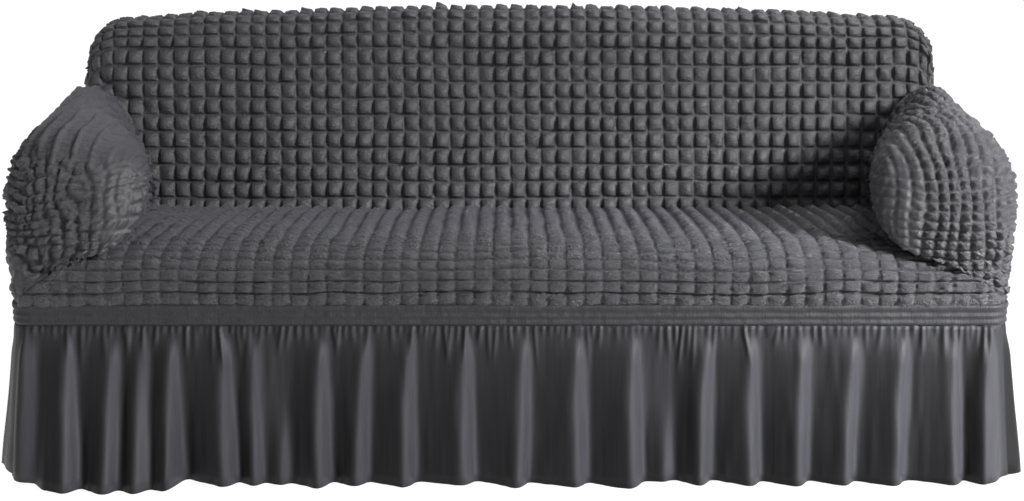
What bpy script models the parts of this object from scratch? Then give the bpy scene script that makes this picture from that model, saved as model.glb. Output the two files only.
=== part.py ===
"""Stretch slipcover for a three-seat sofa: puffed panels, a shirred band and a gathered skirt.

The cover is a hollow set of cloth panels that the sofa's back holds up. The shapes are worked out with
the floor at zero height and the band's front at zero depth. X runs along the sofa, Y from front to back.
One empty then carries the pieces so that the origin is the mount, on the underside of the back's top.
"""

import math

import bpy
import numpy as np

# ---- cloth and seams, metres ----
CLOTH = 0.002
SEAM_GAP = 0.004
EDGE_GAP = 0.0012

# ---- the base that the band goes round ----
BASE_HALF_WIDTH = 1.028
BASE_DEPTH = 0.88
FRONT_CORNER = 0.05
BAND_TOP = 0.370
BAND_BOTTOM = 0.331

# ---- the back ----
BACK_HALF_WIDTH = 1.066
BACK_END_ROUND = 0.12
BACK_END_POWER = 2.5
BACK_END_Y = 0.775
BACK_END_HEIGHT = 0.74
BACK_SHOULDER = 0.84
BACK_TOP_CENTRE = 0.947
BACK_TOP_DROP = 0.034
BACK_TOP_Y = 0.775
BACK_TOP_POWER = 2.3
BACK_SEAM_TURN = math.radians(186.0)
BACK_FOOT_Y = 0.6175
BACK_FOOT_HEIGHT = 0.456
BACK_SHOULDER_Y = 0.694
LEAN_BELOW_FOOT = 0.2
REAR_BULGE = 0.010
BULGE_HEIGHT = 0.14
TAPER_START = 0.90

# ---- the arms ----
ARM_PIVOT_Y = 0.20
ARM_REAR_GAP = 0.012
ARM_FOOT_LIFT = 0.0075
FRONT_EDGE_PLACE = 0.62
FRONT_EDGE_TURN = 0.20

# ---- the skirt ----
SKIRT_TOP = 0.328
SKIRT_FLARE = 0.038
SKIRT_ROWS = (0.0, 0.12, 0.25, SKIRT_TOP)
SIDE_FOLDS = 10
REAR_FOLDS = 22
FOLD_SEED = 11
FOLD_NARROW = 0.75
FOLD_WIDENS = 0.35
FOLD_SHARES = (-1.5, -0.75, 0.0, 0.75, 1.5)
CLOSEST_COLUMNS = 0.006
SKIRT_LINE_STEPS = 80
REAR_CORNER_HALF = 0.092

# ---- the folds of the sides that aren't gathered by hand: least value and the share that varies ----
FOLD_PLACE_VARIES = 0.25
FOLD_HALF_WIDTH = (0.018, 0.006)
FOLD_DEPTH = (0.024, 0.012)
FOLD_FADES_AT = (0.30, 0.03)

# ---- grid steps of each panel, across and along ----
SEAT_STEPS = (24, 13)
BACK_STEPS = (11, 5, 7)
BACK_ROWS = 13
CROWN_ROWS = 6
ARCH_SPREAD = 1.3
REAR_STEPS = (9, 1, 6)
REAR_ROWS = 6
ARM_STEPS = (17, 20)
BAND_SIDE_STEPS = 6
BAND_FULLNESS = 0.002
LEAST_CORNER_STEPS = (3, 4)
ARCH_SAMPLES = 60
FOOT_LINE_SAMPLES = 200
WELD_DISTANCE = 0.00005

# ---- the cloth's colours, linear, and roughness ----
PUFFED_CLOTH = ((0.085, 0.085, 0.095), 0.85)
PLAIN_CLOTH = ((0.075, 0.075, 0.085), 0.80)

# ---- the mount: the underside of the cloth at the middle of the back's top ----
MOUNT_POINT = (0.0, BACK_TOP_Y, BACK_TOP_CENTRE - CLOTH / 2)

# The seat's side profile, from the back seam over the front edge to the band.
SEAT_COLUMNS = ("y", "height")
SEAT_PROFILE = (
    (0.615, 0.462),
    (0.460, 0.476),
    (0.250, 0.484),
    (0.110, 0.484),
    (0.050, 0.478),
    (0.014, 0.461),
    (-0.004, 0.436),
    (-0.006, 0.405),
    (0.000, 0.373),
)

# The arm's sections, from the back to the band at the front corner. A section stands in a plane across
# the arm: "turn" tips it forward about the pivot line at the band's top, "y" sets an upright one.
# "out", "shoulder", "crown" and "belly" are distances from the sofa's middle, each with its height up
# the section. "foot" is where the sleeve meets the seat panel, "along" its place on the seat's profile.
ARM_COLUMNS = ("turn", "y", "out", "out_up", "shoulder", "shoulder_up",
               "crown", "crown_up", "belly", "belly_up", "foot", "along")
ARM_SECTIONS = (
    (0, 0.775, 1.0640, 0.130, 1.063, 0.322, 1.020, 0.370, 0.892, 0.226, 0.874, 0.000),
    (0, 0.600, 1.0720, 0.115, 1.068, 0.310, 1.028, 0.384, 0.886, 0.236, 0.872, 0.030),
    (0, 0.400, 1.0600, 0.110, 1.046, 0.305, 0.970, 0.374, 0.832, 0.254, 0.866, 0.290),
    (0, 0.200, 1.0460, 0.100, 1.030, 0.293, 0.928, 0.364, 0.776, 0.268, 0.860, 0.560),
    (25, 0.200, 1.0410, 0.095, 1.025, 0.275, 0.915, 0.346, 0.750, 0.261, 0.860, 0.640),
    (46, 0.200, 1.0380, 0.090, 1.025, 0.243, 0.912, 0.294, 0.764, 0.228, 0.862, 0.720),
    (62, 0.200, 1.0360, 0.085, 1.030, 0.200, 0.940, 0.244, 0.830, 0.223, 0.876, 0.845),
    (76, 0.200, 1.0340, 0.080, 1.032, 0.166, 1.002, 0.208, 0.966, 0.215, 0.950, 0.925),
    (90, 0.200, 1.0280, 0.060, 1.0280, 0.110, 1.0270, 0.150, 1.0215, 0.172, 1.0115, 1.000),
)

# The front skirt's main folds: place along the front, half width, how far the ridge stands out at the
# hem, and the height where it fades.
FOLD_COLUMNS = ("place", "half_width", "depth", "fades_at")
FRONT_FOLDS = (
    (-0.975, 0.026, 0.040, 0.330),
    (-0.898, 0.020, 0.036, 0.330),
    (-0.804, 0.018, 0.032, 0.325),
    (-0.745, 0.017, 0.028, 0.320),
    (-0.685, 0.020, 0.034, 0.330),
    (-0.576, 0.022, 0.040, 0.330),
    (-0.519, 0.016, 0.026, 0.300),
    (-0.455, 0.014, 0.018, 0.190),
    (-0.377, 0.022, 0.038, 0.330),
    (-0.287, 0.020, 0.032, 0.320),
    (-0.197, 0.020, 0.034, 0.325),
    (-0.082, 0.022, 0.038, 0.330),
    (0.039, 0.020, 0.036, 0.330),
    (0.150, 0.022, 0.036, 0.325),
    (0.261, 0.022, 0.040, 0.330),
    (0.336, 0.014, 0.018, 0.200),
    (0.414, 0.022, 0.038, 0.330),
    (0.505, 0.020, 0.034, 0.320),
    (0.613, 0.022, 0.038, 0.330),
    (0.716, 0.020, 0.034, 0.325),
    (0.816, 0.020, 0.036, 0.330),
    (0.919, 0.020, 0.034, 0.325),
    (0.992, 0.024, 0.040, 0.330),
)


def column(columns, rows, name):
    """One named column of a table."""
    return np.array([row[columns.index(name)] for row in rows], dtype=float)


def ease(value):
    """A smooth step from 0 to 1."""
    held = np.clip(value, 0.0, 1.0)
    return held * held * (3.0 - 2.0 * held)


def spline(knots, values, at):
    """A natural cubic curve through rows of values at the knots, read at each place in at."""
    knots = np.asarray(knots, dtype=float)
    values = np.asarray(values, dtype=float)
    count = len(knots)
    span = np.diff(knots)
    system = np.eye(count)
    right = np.zeros((count, values.reshape(count, -1).shape[1]))
    flat = values.reshape(count, -1)
    for row in range(1, count - 1):
        system[row, row - 1] = span[row - 1]
        system[row, row] = 2.0 * (span[row - 1] + span[row])
        system[row, row + 1] = span[row]
        rise_after = (flat[row + 1] - flat[row]) / span[row]
        rise_before = (flat[row] - flat[row - 1]) / span[row - 1]
        right[row] = 6.0 * (rise_after - rise_before)
    bend = np.linalg.solve(system, right)
    places = np.atleast_1d(np.asarray(at, dtype=float))
    index = np.clip(np.searchsorted(knots, places) - 1, 0, count - 2)
    width = span[index][:, None]
    ahead = (places - knots[index])[:, None]
    left = (knots[index + 1] - places)[:, None]
    curve = (bend[index] * left ** 3 + bend[index + 1] * ahead ** 3) / (6.0 * width)
    curve = curve + (flat[index] / width - bend[index] * width / 6.0) * left
    curve = curve + (flat[index + 1] / width - bend[index + 1] * width / 6.0) * ahead
    return curve.reshape((len(places),) + values.shape[1:])


def chord_knots(points):
    """Knots from 0 to 1 by the distance between neighbouring points."""
    steps = np.linalg.norm(np.diff(np.asarray(points, dtype=float), axis=0), axis=1)
    return np.concatenate(([0.0], np.cumsum(steps))) / steps.sum()


def side_reach(height):
    """Half width of the cover's ends at a height: the band's, swelling to the back's."""
    swell = ease((np.asarray(height, dtype=float) - BAND_TOP) / BULGE_HEIGHT)
    return BASE_HALF_WIDTH + (BACK_HALF_WIDTH - BASE_HALF_WIDTH) * swell


def tapered(reference, height):
    """Distance along the back of a place on it, drawn in at its ends where they go down to the band."""
    near_end = ease((np.abs(reference) - TAPER_START) / (BACK_HALF_WIDTH - TAPER_START))
    return reference - np.sign(reference) * (BACK_HALF_WIDTH - side_reach(height)) * near_end


def end_share(reference):
    """How full the back's cross section is at a place along it: 1 along its length, 0 at its ends."""
    into_end = (np.abs(reference) - (BACK_HALF_WIDTH - BACK_END_ROUND)) / BACK_END_ROUND
    held = np.clip(into_end, 0.0, 1.0)
    return (1.0 - held ** BACK_END_POWER) ** (1.0 / BACK_END_POWER)


def across_back(middle_steps, arch_steps, end_steps):
    """Places along the back, closer together over the arms and round its ends, and the share there."""
    straight = BACK_HALF_WIDTH - BACK_END_ROUND
    foot = ARM_SECTIONS[0][ARM_COLUMNS.index("foot")]
    middle = np.linspace(0.0, foot, middle_steps + 1)
    arch = foot + (straight - foot) * (np.arange(1, arch_steps + 1) / arch_steps) ** ARCH_SPREAD
    angle = np.linspace(0.0, math.pi / 2, end_steps + 1)[1:]
    end = straight + BACK_END_ROUND * np.sin(angle) ** (2.0 / BACK_END_POWER)
    end_fullness = np.cos(angle) ** (2.0 / BACK_END_POWER)
    end_fullness[-1] = 0.0
    reference = np.concatenate((middle, arch, end))
    share = np.concatenate((np.ones(len(middle) + len(arch)), end_fullness))
    return np.concatenate((-reference[:0:-1], reference)), np.concatenate((share[:0:-1], share))


def back_front_y(height):
    """Depth of the inside back's face, which leans a little."""
    rise = (np.asarray(height, dtype=float) - BACK_FOOT_HEIGHT) / (BACK_SHOULDER - BACK_FOOT_HEIGHT)
    return BACK_FOOT_Y + (BACK_SHOULDER_Y - BACK_FOOT_Y) * np.clip(rise, -LEAN_BELOW_FOOT, 1.0)


def seat_profile(along):
    """Points (y, height) on the seat's profile at places from 0, the back seam, to 1, the band."""
    points = np.column_stack([column(SEAT_COLUMNS, SEAT_PROFILE, name) for name in SEAT_COLUMNS])
    return spline(chord_knots(points), points, along)


def corner_set_back(x):
    """How far the base line stands back from the front at a place along it, round the corners."""
    into = np.clip(np.abs(x) - (BASE_HALF_WIDTH - FRONT_CORNER), 0.0, FRONT_CORNER)
    return FRONT_CORNER - np.sqrt(FRONT_CORNER ** 2 - into ** 2)


def on_front(along):
    """How far a place on the seat's profile is round the front edge, 0 on the seat and 1 in front."""
    return ease((np.asarray(along, dtype=float) - FRONT_EDGE_PLACE) / FRONT_EDGE_TURN)


def arm_foot(section):
    """Where a section meets the seat panel: (y, height) just off the seat's profile, round the corner."""
    row = dict(zip(ARM_COLUMNS, section))
    y, height = seat_profile(row["along"])[0]
    in_front = float(on_front(row["along"]))
    set_back = float(corner_set_back(row["foot"]))
    return y + (set_back - ARM_FOOT_LIFT) * in_front, height + ARM_FOOT_LIFT * (1.0 - in_front)


def arm_arch(section, along):
    """Points (distance from the middle, height up the section) over one arm section, outer foot first."""
    row = dict(zip(ARM_COLUMNS, section))
    foot_y, foot_height = arm_foot(section)
    foot_up = foot_height - BAND_TOP
    if row["turn"] > 0:
        foot_up = math.hypot(ARM_PIVOT_Y - foot_y, foot_height - BAND_TOP)
    points = (
        (BASE_HALF_WIDTH, EDGE_GAP),
        (row["out"], row["out_up"]),
        (row["shoulder"], row["shoulder_up"]),
        (row["crown"], row["crown_up"]),
        (row["belly"], row["belly_up"]),
        (row["foot"], foot_up),
    )
    knots = chord_knots(points)
    return spline(knots, points, along), knots


def arm_section_points(section, across):
    """One arm section's points (x, y, height), its last ones drawn on to the seat panel's line."""
    row = dict(zip(ARM_COLUMNS, section))
    arch, knots = arm_arch(section, across)
    turn = math.radians(row["turn"])
    x = arch[:, 0]
    y = row["y"] - arch[:, 1] * math.sin(turn)
    height = BAND_TOP + arch[:, 1] * math.cos(turn)
    if row["y"] > BACK_FOOT_Y:
        face = BACK_END_Y + (back_front_y(height) - BACK_END_Y) * end_share(x)
        y = np.where(across <= knots[2], BACK_END_Y - EDGE_GAP, face - ARM_REAR_GAP)
        x = np.where(across <= knots[1], side_reach(height), x)
    else:
        foot_y, foot_height = arm_foot(section)
        near_foot = ease((across - knots[-2]) / (1.0 - knots[-2]))
        y = y + (foot_y - y[-1]) * near_foot
        height = height + (foot_height - height[-1]) * near_foot
    return np.column_stack((x, y, np.maximum(height, BAND_TOP + EDGE_GAP)))


def arm_points(across, along):
    """The arm sleeve's points on the +X side, a row for each place along it, as (x, y, height)."""
    sections = np.array([arm_section_points(section, across) for section in ARM_SECTIONS])
    return spline(arm_knots(), sections, along)


def arm_knots():
    """Places of the arm's sections from 0, the back, to 1, the front corner, by their crowns' spacing."""
    crowns = []
    for section in ARM_SECTIONS:
        row = dict(zip(ARM_COLUMNS, section))
        turn = math.radians(row["turn"])
        y = row["y"] - row["crown_up"] * math.sin(turn)
        crowns.append((row["crown"], y, row["crown_up"] * math.cos(turn)))
    return chord_knots(crowns)


def back_foot_height(reference):
    """Height of the inside back's lower edge: the seat's back seam, then over the arm's rear arch."""
    section = ARM_SECTIONS[0]
    _, knots = arm_arch(section, 0.0)
    arch, _ = arm_arch(section, np.linspace(1.0, knots[2], ARCH_SAMPLES))
    over_arm = np.interp(np.abs(reference), arch[:, 0], BAND_TOP + arch[:, 1]) + ARM_REAR_GAP
    foot = section[ARM_COLUMNS.index("foot")]
    return np.where(np.abs(reference) <= foot, BACK_FOOT_HEIGHT + SEAM_GAP, over_arm)


def seat_half_width(along):
    """The seat panel's half width at places on its profile: the arm's foot line less the seam."""
    places = column(ARM_COLUMNS, ARM_SECTIONS, "along")
    feet = column(ARM_COLUMNS, ARM_SECTIONS, "foot")
    fine = spline(arm_knots(), np.column_stack((places, feet)), np.linspace(0.0, 1.0, FOOT_LINE_SAMPLES))
    return np.interp(along, np.maximum.accumulate(fine[:, 0]), fine[:, 1]) - SEAM_GAP


def grid_sheet(name, points, material, closed=False):
    """One sheet of cloth from rows of points: a grid primitive moved on to them, then given thickness."""
    rows, columns = points.shape[:2]
    steps = columns if closed else columns - 1
    bpy.ops.mesh.primitive_grid_add(x_subdivisions=steps, y_subdivisions=rows - 1, size=2.0)
    sheet = bpy.context.object
    sheet.name = name
    sheet.data.name = name
    if closed:
        points = np.concatenate((points, points[:, :1]), axis=1)
    flat = np.array([vertex.co[:2] for vertex in sheet.data.vertices])
    column_index = np.rint((flat[:, 0] + 1.0) / 2.0 * steps).astype(int)
    row_index = np.rint((flat[:, 1] + 1.0) / 2.0 * (rows - 1)).astype(int)
    for vertex, row, place in zip(sheet.data.vertices, row_index, column_index):
        vertex.co = points[row, place]
    if closed:
        weld = sheet.modifiers.new("close_ring", "WELD")
        weld.merge_threshold = WELD_DISTANCE
    solidify = sheet.modifiers.new("cloth", "SOLIDIFY")
    solidify.thickness = CLOTH
    solidify.offset = 0.0
    solidify.use_even_offset = False
    sheet.data.materials.append(material)
    return sheet


def seat_points():
    """The seat panel's points, from its back seam over the front edge to the band."""
    across = np.linspace(-1.0, 1.0, SEAT_STEPS[0] + 1)
    along = np.linspace(0.0, 1.0, SEAT_STEPS[1] + 1)
    profile = seat_profile(along)
    x = seat_half_width(along)[:, None] * across[None, :]
    y = profile[:, :1] + corner_set_back(x) * on_front(along)[:, None]
    return np.dstack((x, y, np.broadcast_to(profile[:, 1:], x.shape)))


def back_points():
    """The inside back's points, from the seat and the arms' arches up and over the top to the seam."""
    reference, share = across_back(*BACK_STEPS)
    foot = back_foot_height(reference)
    shoulder = BACK_END_HEIGHT + (BACK_SHOULDER - BACK_END_HEIGHT) * share
    top = BACK_TOP_CENTRE - BACK_TOP_DROP * (reference / BACK_HALF_WIDTH) ** 2
    crown = (top - BACK_SHOULDER) * share
    end_y = np.where(share > 0.0, BACK_END_Y, BACK_END_Y - EDGE_GAP / 2)
    rows = []
    leg_rows = BACK_ROWS - CROWN_ROWS
    for row in range(leg_rows):
        height = foot + (shoulder - foot) * row / leg_rows
        y = end_y + (back_front_y(height) - BACK_END_Y) * share
        rows.append((reference, y, height))
    front_reach = (BACK_TOP_Y - BACK_SHOULDER_Y) * share
    rear_reach = (BASE_DEPTH + REAR_BULGE - BACK_TOP_Y) * share
    for row in range(CROWN_ROWS + 1):
        angle = BACK_SEAM_TURN * row / CROWN_ROWS
        sideways = np.sign(math.cos(angle)) * abs(math.cos(angle)) ** (2.0 / BACK_TOP_POWER)
        upward = np.sign(math.sin(angle)) * abs(math.sin(angle)) ** (2.0 / BACK_TOP_POWER)
        reach = front_reach if sideways > 0 else rear_reach
        rows.append((reference, end_y - reach * sideways, shoulder + crown * upward))
    x = np.array([tapered(row[0], row[2]) for row in rows])
    y = np.array([row[1] for row in rows])
    height = np.array([row[2] for row in rows])
    return np.dstack((x, y, height))


def rear_points(seam):
    """The outside back's points, from the band up to the seam that the inside back ends in."""
    reference, share = across_back(*REAR_STEPS)
    top = np.interp(reference, seam[:, 0], seam[:, 2]) - EDGE_GAP
    rows = []
    for row in range(REAR_ROWS + 1):
        rise = row / REAR_ROWS
        height = BAND_TOP + EDGE_GAP + (top - BAND_TOP - EDGE_GAP) * rise
        bulge = REAR_BULGE * math.sin(rise * math.pi / 2)
        y = BACK_END_Y + EDGE_GAP + (BASE_DEPTH + bulge - BACK_END_Y - EDGE_GAP) * share
        rows.append(np.column_stack((tapered(reference, height), y, height)))
    return np.array(rows)


def base_line(steps_per_metre):
    """The band's line from above, anticlockwise from the middle of the front, and its outward normals."""
    points = []
    turns = []
    straight = BASE_HALF_WIDTH - FRONT_CORNER
    rear_straight = BACK_HALF_WIDTH - BACK_END_ROUND
    rear_depth = BASE_DEPTH - BACK_END_Y
    for place in np.linspace(0.0, straight, int(straight * steps_per_metre) + 2)[:-1]:
        points.append((place, 0.0))
        turns.append(-90.0)
    corner_steps = max(LEAST_CORNER_STEPS[0], int(FRONT_CORNER * math.pi / 2 * steps_per_metre))
    for angle in np.linspace(-90.0, 0.0, corner_steps + 1)[:-1]:
        turn = math.radians(angle)
        reach = straight + FRONT_CORNER * math.cos(turn)
        points.append((reach, FRONT_CORNER + FRONT_CORNER * math.sin(turn)))
        turns.append(angle)
    side_steps = int((BACK_END_Y - FRONT_CORNER) * steps_per_metre) + 2
    for place in np.linspace(FRONT_CORNER, BACK_END_Y, side_steps)[:-1]:
        points.append((BASE_HALF_WIDTH, place))
        turns.append(0.0)
    rear_steps = max(LEAST_CORNER_STEPS[1], int(BACK_END_ROUND * math.pi / 2 * steps_per_metre))
    for angle in np.linspace(0.0, 90.0, rear_steps + 1)[:-1]:
        turn = math.radians(angle)
        reach = rear_straight + BACK_END_ROUND * math.cos(turn) ** (2.0 / BACK_END_POWER)
        backward = rear_depth * math.sin(turn) ** (2.0 / BACK_END_POWER)
        points.append((float(tapered(reach, BAND_TOP)), BACK_END_Y + backward))
        turns.append(angle)
    for place in np.linspace(rear_straight, 0.0, int(rear_straight * steps_per_metre) + 2):
        points.append((place, BASE_DEPTH))
        turns.append(90.0)
    half = np.array(points)
    turn = np.radians(turns)
    normals = np.column_stack((np.cos(turn), np.sin(turn)))
    flip = np.array((-1.0, 1.0))
    line = np.concatenate((half, half[-2:0:-1] * flip))
    outward = np.concatenate((normals, normals[-2:0:-1] * flip))
    return line, outward


def band_points():
    """The elastic band's ring of points, three rows high, a little fuller at its middle."""
    line, outward = base_line(BAND_SIDE_STEPS)
    rows = []
    middle = (BAND_BOTTOM + BAND_TOP) / 2
    for height, fullness in ((BAND_BOTTOM, 0.0), (middle, BAND_FULLNESS), (BAND_TOP, 0.0)):
        place = line + outward * fullness
        rows.append(np.column_stack((place, np.full(len(line), height))))
    return np.array(rows)


def fold_offset(places, height, folds):
    """How far the skirt stands out from the base line at places along it, at one height."""
    drop = 1.0 - height / SKIRT_TOP
    offset = np.full(len(places), SKIRT_FLARE * drop)
    for fold in folds:
        row = dict(zip(FOLD_COLUMNS, fold))
        growth = ease((row["fades_at"] - height) / row["fades_at"])
        spread = row["half_width"] * (FOLD_NARROW + FOLD_WIDENS * drop)
        offset = offset + row["depth"] * growth * np.exp(-((places - row["place"]) / spread) ** 2)
    return offset


def skirt_points(line, outward, start, end, folds):
    """A gathered length's points between two places on the base line, closest together on its folds."""
    ring = np.concatenate((line, line[:1]))
    run = np.concatenate(([0.0], np.cumsum(np.linalg.norm(np.diff(ring, axis=0), axis=1))))
    places = [start, end]
    ridges = column(FOLD_COLUMNS, folds, "place")
    for ridge, half_width in zip(ridges, column(FOLD_COLUMNS, folds, "half_width")):
        places.extend(ridge + share * half_width for share in FOLD_SHARES)
    places.extend((ridges[:-1] + ridges[1:]) / 2)
    places = np.unique(np.clip(places, start, end))
    spread_out = [start]
    for place in places[1:]:
        if place - spread_out[-1] > CLOSEST_COLUMNS:
            spread_out.append(place)
    spread_out[-1] = end
    places = np.array(spread_out)
    foot = np.column_stack([np.interp(places, run[:-1], values, period=run[-1]) for values in line.T])
    normal = np.column_stack([np.interp(places, run[:-1], values, period=run[-1]) for values in outward.T])
    normal = normal / np.linalg.norm(normal, axis=1)[:, None]
    rows = []
    for height in SKIRT_ROWS:
        offset = fold_offset(places, height, folds)
        rows.append(np.column_stack((foot + normal * offset[:, None], np.full(len(places), height))))
    return np.array(rows)


def skirt_lengths():
    """The four gathered lengths' points by name; they meet at the middle of each corner."""
    line, outward = base_line(SKIRT_LINE_STEPS)
    ring = np.concatenate((line, line[:1]))
    total = np.linalg.norm(np.diff(ring, axis=0), axis=1).sum()
    front = BASE_HALF_WIDTH - FRONT_CORNER + FRONT_CORNER * math.pi / 4
    rear = front + FRONT_CORNER * math.pi / 4 + BACK_END_Y - FRONT_CORNER + REAR_CORNER_HALF
    random = np.random.default_rng(FOLD_SEED)
    ends = {
        "skirt_front": (-front, front, None),
        "skirt_right": (front, rear, SIDE_FOLDS),
        "skirt_rear": (rear, total - rear, REAR_FOLDS),
        "skirt_left": (total - rear, total - front, SIDE_FOLDS),
    }
    lengths = {}
    for name, (start, end, fold_count) in ends.items():
        first = start + EDGE_GAP / 2
        last = end - EDGE_GAP / 2
        folds = FRONT_FOLDS if fold_count is None else even_folds(fold_count, first, last, random)
        lengths[name] = skirt_points(line, outward, first, last, folds)
    return lengths


def even_folds(count, start, end, random):
    """Folds for a side that isn't gathered by hand: near even, with uneven width, depth and place."""
    pitch = (end - start) / count
    folds = []
    for index in range(count):
        place = start + pitch * (index + 0.5 + FOLD_PLACE_VARIES * (random.random() - 0.5))
        ranges = (FOLD_HALF_WIDTH, FOLD_DEPTH, FOLD_FADES_AT)
        sizes = [least + varies * random.random() for least, varies in ranges]
        folds.append((place, *sizes))
    return folds


def cloth_material(name, cloth):
    """A plain matt cloth material for one piece."""
    colour, roughness = cloth
    material = bpy.data.materials.new(name)
    material.use_nodes = True
    shader = material.node_tree.nodes["Principled BSDF"]
    shader.inputs["Base Color"].default_value = (*colour, 1.0)
    shader.inputs["Roughness"].default_value = roughness
    shader.inputs["Metallic"].default_value = 0.0
    return material


def main():
    """Clear the scene and build the cover's pieces under one empty at the mount."""
    for old in list(bpy.data.objects):
        bpy.data.objects.remove(old, do_unlink=True)
    cover = bpy.data.collections.new("sofa_slipcover")
    bpy.context.scene.collection.children.link(cover)
    origin = bpy.data.objects.new("mount_origin", None)
    origin.location = [-value for value in MOUNT_POINT]
    cover.objects.link(origin)

    back = back_points()
    across = np.linspace(0.0, 1.0, ARM_STEPS[0] + 1)
    along = np.linspace(0.0, 1.0, ARM_STEPS[1] + 1)
    arm = arm_points(across, along)
    mirror = np.array((-1.0, 1.0, 1.0))
    sheets = {
        "seat_panel": seat_points(),
        "back_panel": back,
        "rear_panel": rear_points(back[-1]),
        "arm_right": arm,
        "arm_left": arm * mirror,
    }
    for name, points in sheets.items():
        grid_sheet(name, points, cloth_material(name, PUFFED_CLOTH))
    for name, points in skirt_lengths().items():
        grid_sheet(name, points, cloth_material(name, PLAIN_CLOTH))
    grid_sheet("band", band_points(), cloth_material("band", PLAIN_CLOTH), closed=True)
    for sheet in [item for item in bpy.data.objects if item.type == "MESH"]:
        for holder in list(sheet.users_collection):
            holder.objects.unlink(sheet)
        cover.objects.link(sheet)
        sheet.parent = origin


main()
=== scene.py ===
"""Stretch sofa slipcover: puffed panels, a shirred band and a gathered skirt, dressed for rendering.

Run it as a script. It loads the fixed frame, replaces each plain panel with a finely puffed or gathered
sheet that follows the same surface, and sets the stage. Surfaces are worked out with the floor at zero
height and the band's front at zero depth, then carried to the frame's origin, under the back's top.
"""

import math

import bpy
import numpy as np
from bpy.props import FloatProperty, FloatVectorProperty, PointerProperty
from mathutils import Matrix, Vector


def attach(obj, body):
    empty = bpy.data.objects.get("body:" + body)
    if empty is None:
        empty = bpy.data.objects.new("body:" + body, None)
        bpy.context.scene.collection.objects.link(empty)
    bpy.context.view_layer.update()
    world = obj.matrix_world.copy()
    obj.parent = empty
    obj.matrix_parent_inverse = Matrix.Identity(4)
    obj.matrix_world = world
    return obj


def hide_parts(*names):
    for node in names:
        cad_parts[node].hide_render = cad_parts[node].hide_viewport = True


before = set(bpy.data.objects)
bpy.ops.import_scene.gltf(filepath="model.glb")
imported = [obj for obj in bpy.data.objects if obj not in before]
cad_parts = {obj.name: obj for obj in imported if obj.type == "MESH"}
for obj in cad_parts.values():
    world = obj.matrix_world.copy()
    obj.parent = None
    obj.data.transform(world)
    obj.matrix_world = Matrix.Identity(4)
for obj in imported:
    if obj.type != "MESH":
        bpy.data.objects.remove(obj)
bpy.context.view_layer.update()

bl_info = {
    "name": "Sofa slipcover",
    "version": (1, 0, 0),
    "blender": (4, 5, 0),
    "location": "3D View > Sidebar > Slipcover",
    "description": "Builds a puffed stretch slipcover with a gathered skirt",
    "category": "Add Mesh",
}

# ---- the cover's main sizes, metres, as its frame has them ----
BASE_HALF_WIDTH = 1.028
BASE_DEPTH = 0.88
FRONT_CORNER = 0.05
BAND_TOP = 0.370
BAND_BOTTOM = 0.331
BACK_HALF_WIDTH = 1.066
BACK_END_ROUND = 0.12
BACK_END_POWER = 2.5
BACK_END_Y = 0.775
BACK_END_HEIGHT = 0.74
BACK_SHOULDER = 0.84
BACK_TOP_CENTRE = 0.947
BACK_TOP_DROP = 0.034
BACK_TOP_Y = 0.775
BACK_TOP_POWER = 2.3
BACK_SEAM_TURN = math.radians(186.0)
BACK_FOOT_Y = 0.6175
BACK_FOOT_HEIGHT = 0.456
BACK_SHOULDER_Y = 0.694
REAR_BULGE = 0.010
BULGE_HEIGHT = 0.14
TAPER_START = 0.90
ARM_PIVOT_Y = 0.20
ARM_REAR_GAP = 0.012
ARM_FOOT_LIFT = 0.0075
ARM_FOOT_SINK = 0.012
EDGE_GAP = 0.0012
SKIRT_TOP = 0.328
SKIRT_FLARE = 0.038
REAR_CORNER_HALF = 0.092
CAD_CLOTH = 0.002
BACK_SIDE_TUCK = 0.032
MOUNT_POINT = np.array((0.0, BACK_TOP_Y, BACK_TOP_CENTRE - CAD_CLOTH / 2))

# The step of the line that the band and the skirt are laid along, metres.
LINE_STEP = 0.004

# The seat's side profile, from the back seam over the front edge to the band, and the shares of it where
# it starts to turn round the front edge and how long the turn takes.
FRONT_TURN = (0.62, 0.20)
SEAT_COLUMNS = ("y", "height")
SEAT_PROFILE = (
    (0.615, 0.462),
    (0.460, 0.476),
    (0.250, 0.484),
    (0.110, 0.484),
    (0.050, 0.478),
    (0.014, 0.461),
    (-0.004, 0.436),
    (-0.006, 0.405),
    (0.000, 0.373),
)

# The arm's sections, from the back to the band at the front corner. "turn" tips a section forward about
# the pivot line, the other columns are distances from the sofa's middle with their heights up it.
ARM_COLUMNS = ("turn", "y", "out", "out_up", "shoulder", "shoulder_up",
               "crown", "crown_up", "belly", "belly_up", "foot", "along")
ARM_SECTIONS = (
    (0, 0.775, 1.0640, 0.130, 1.063, 0.322, 1.020, 0.370, 0.892, 0.226, 0.874, 0.000),
    (0, 0.600, 1.0720, 0.115, 1.068, 0.310, 1.028, 0.384, 0.886, 0.236, 0.872, 0.030),
    (0, 0.400, 1.0680, 0.110, 1.062, 0.305, 0.978, 0.374, 0.832, 0.254, 0.866, 0.290),
    (0, 0.200, 1.0560, 0.100, 1.050, 0.293, 0.936, 0.364, 0.776, 0.268, 0.860, 0.560),
    (25, 0.200, 1.0500, 0.095, 1.040, 0.275, 0.922, 0.346, 0.750, 0.261, 0.860, 0.640),
    (46, 0.200, 1.0380, 0.090, 1.025, 0.243, 0.912, 0.294, 0.764, 0.228, 0.862, 0.720),
    (62, 0.200, 1.0360, 0.085, 1.030, 0.200, 0.940, 0.244, 0.830, 0.223, 0.876, 0.845),
    (76, 0.200, 1.0340, 0.080, 1.032, 0.166, 1.002, 0.208, 0.966, 0.215, 0.950, 0.925),
    (90, 0.200, 1.0280, 0.060, 1.0280, 0.110, 1.0270, 0.150, 1.0215, 0.172, 1.0115, 1.000),
)

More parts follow.
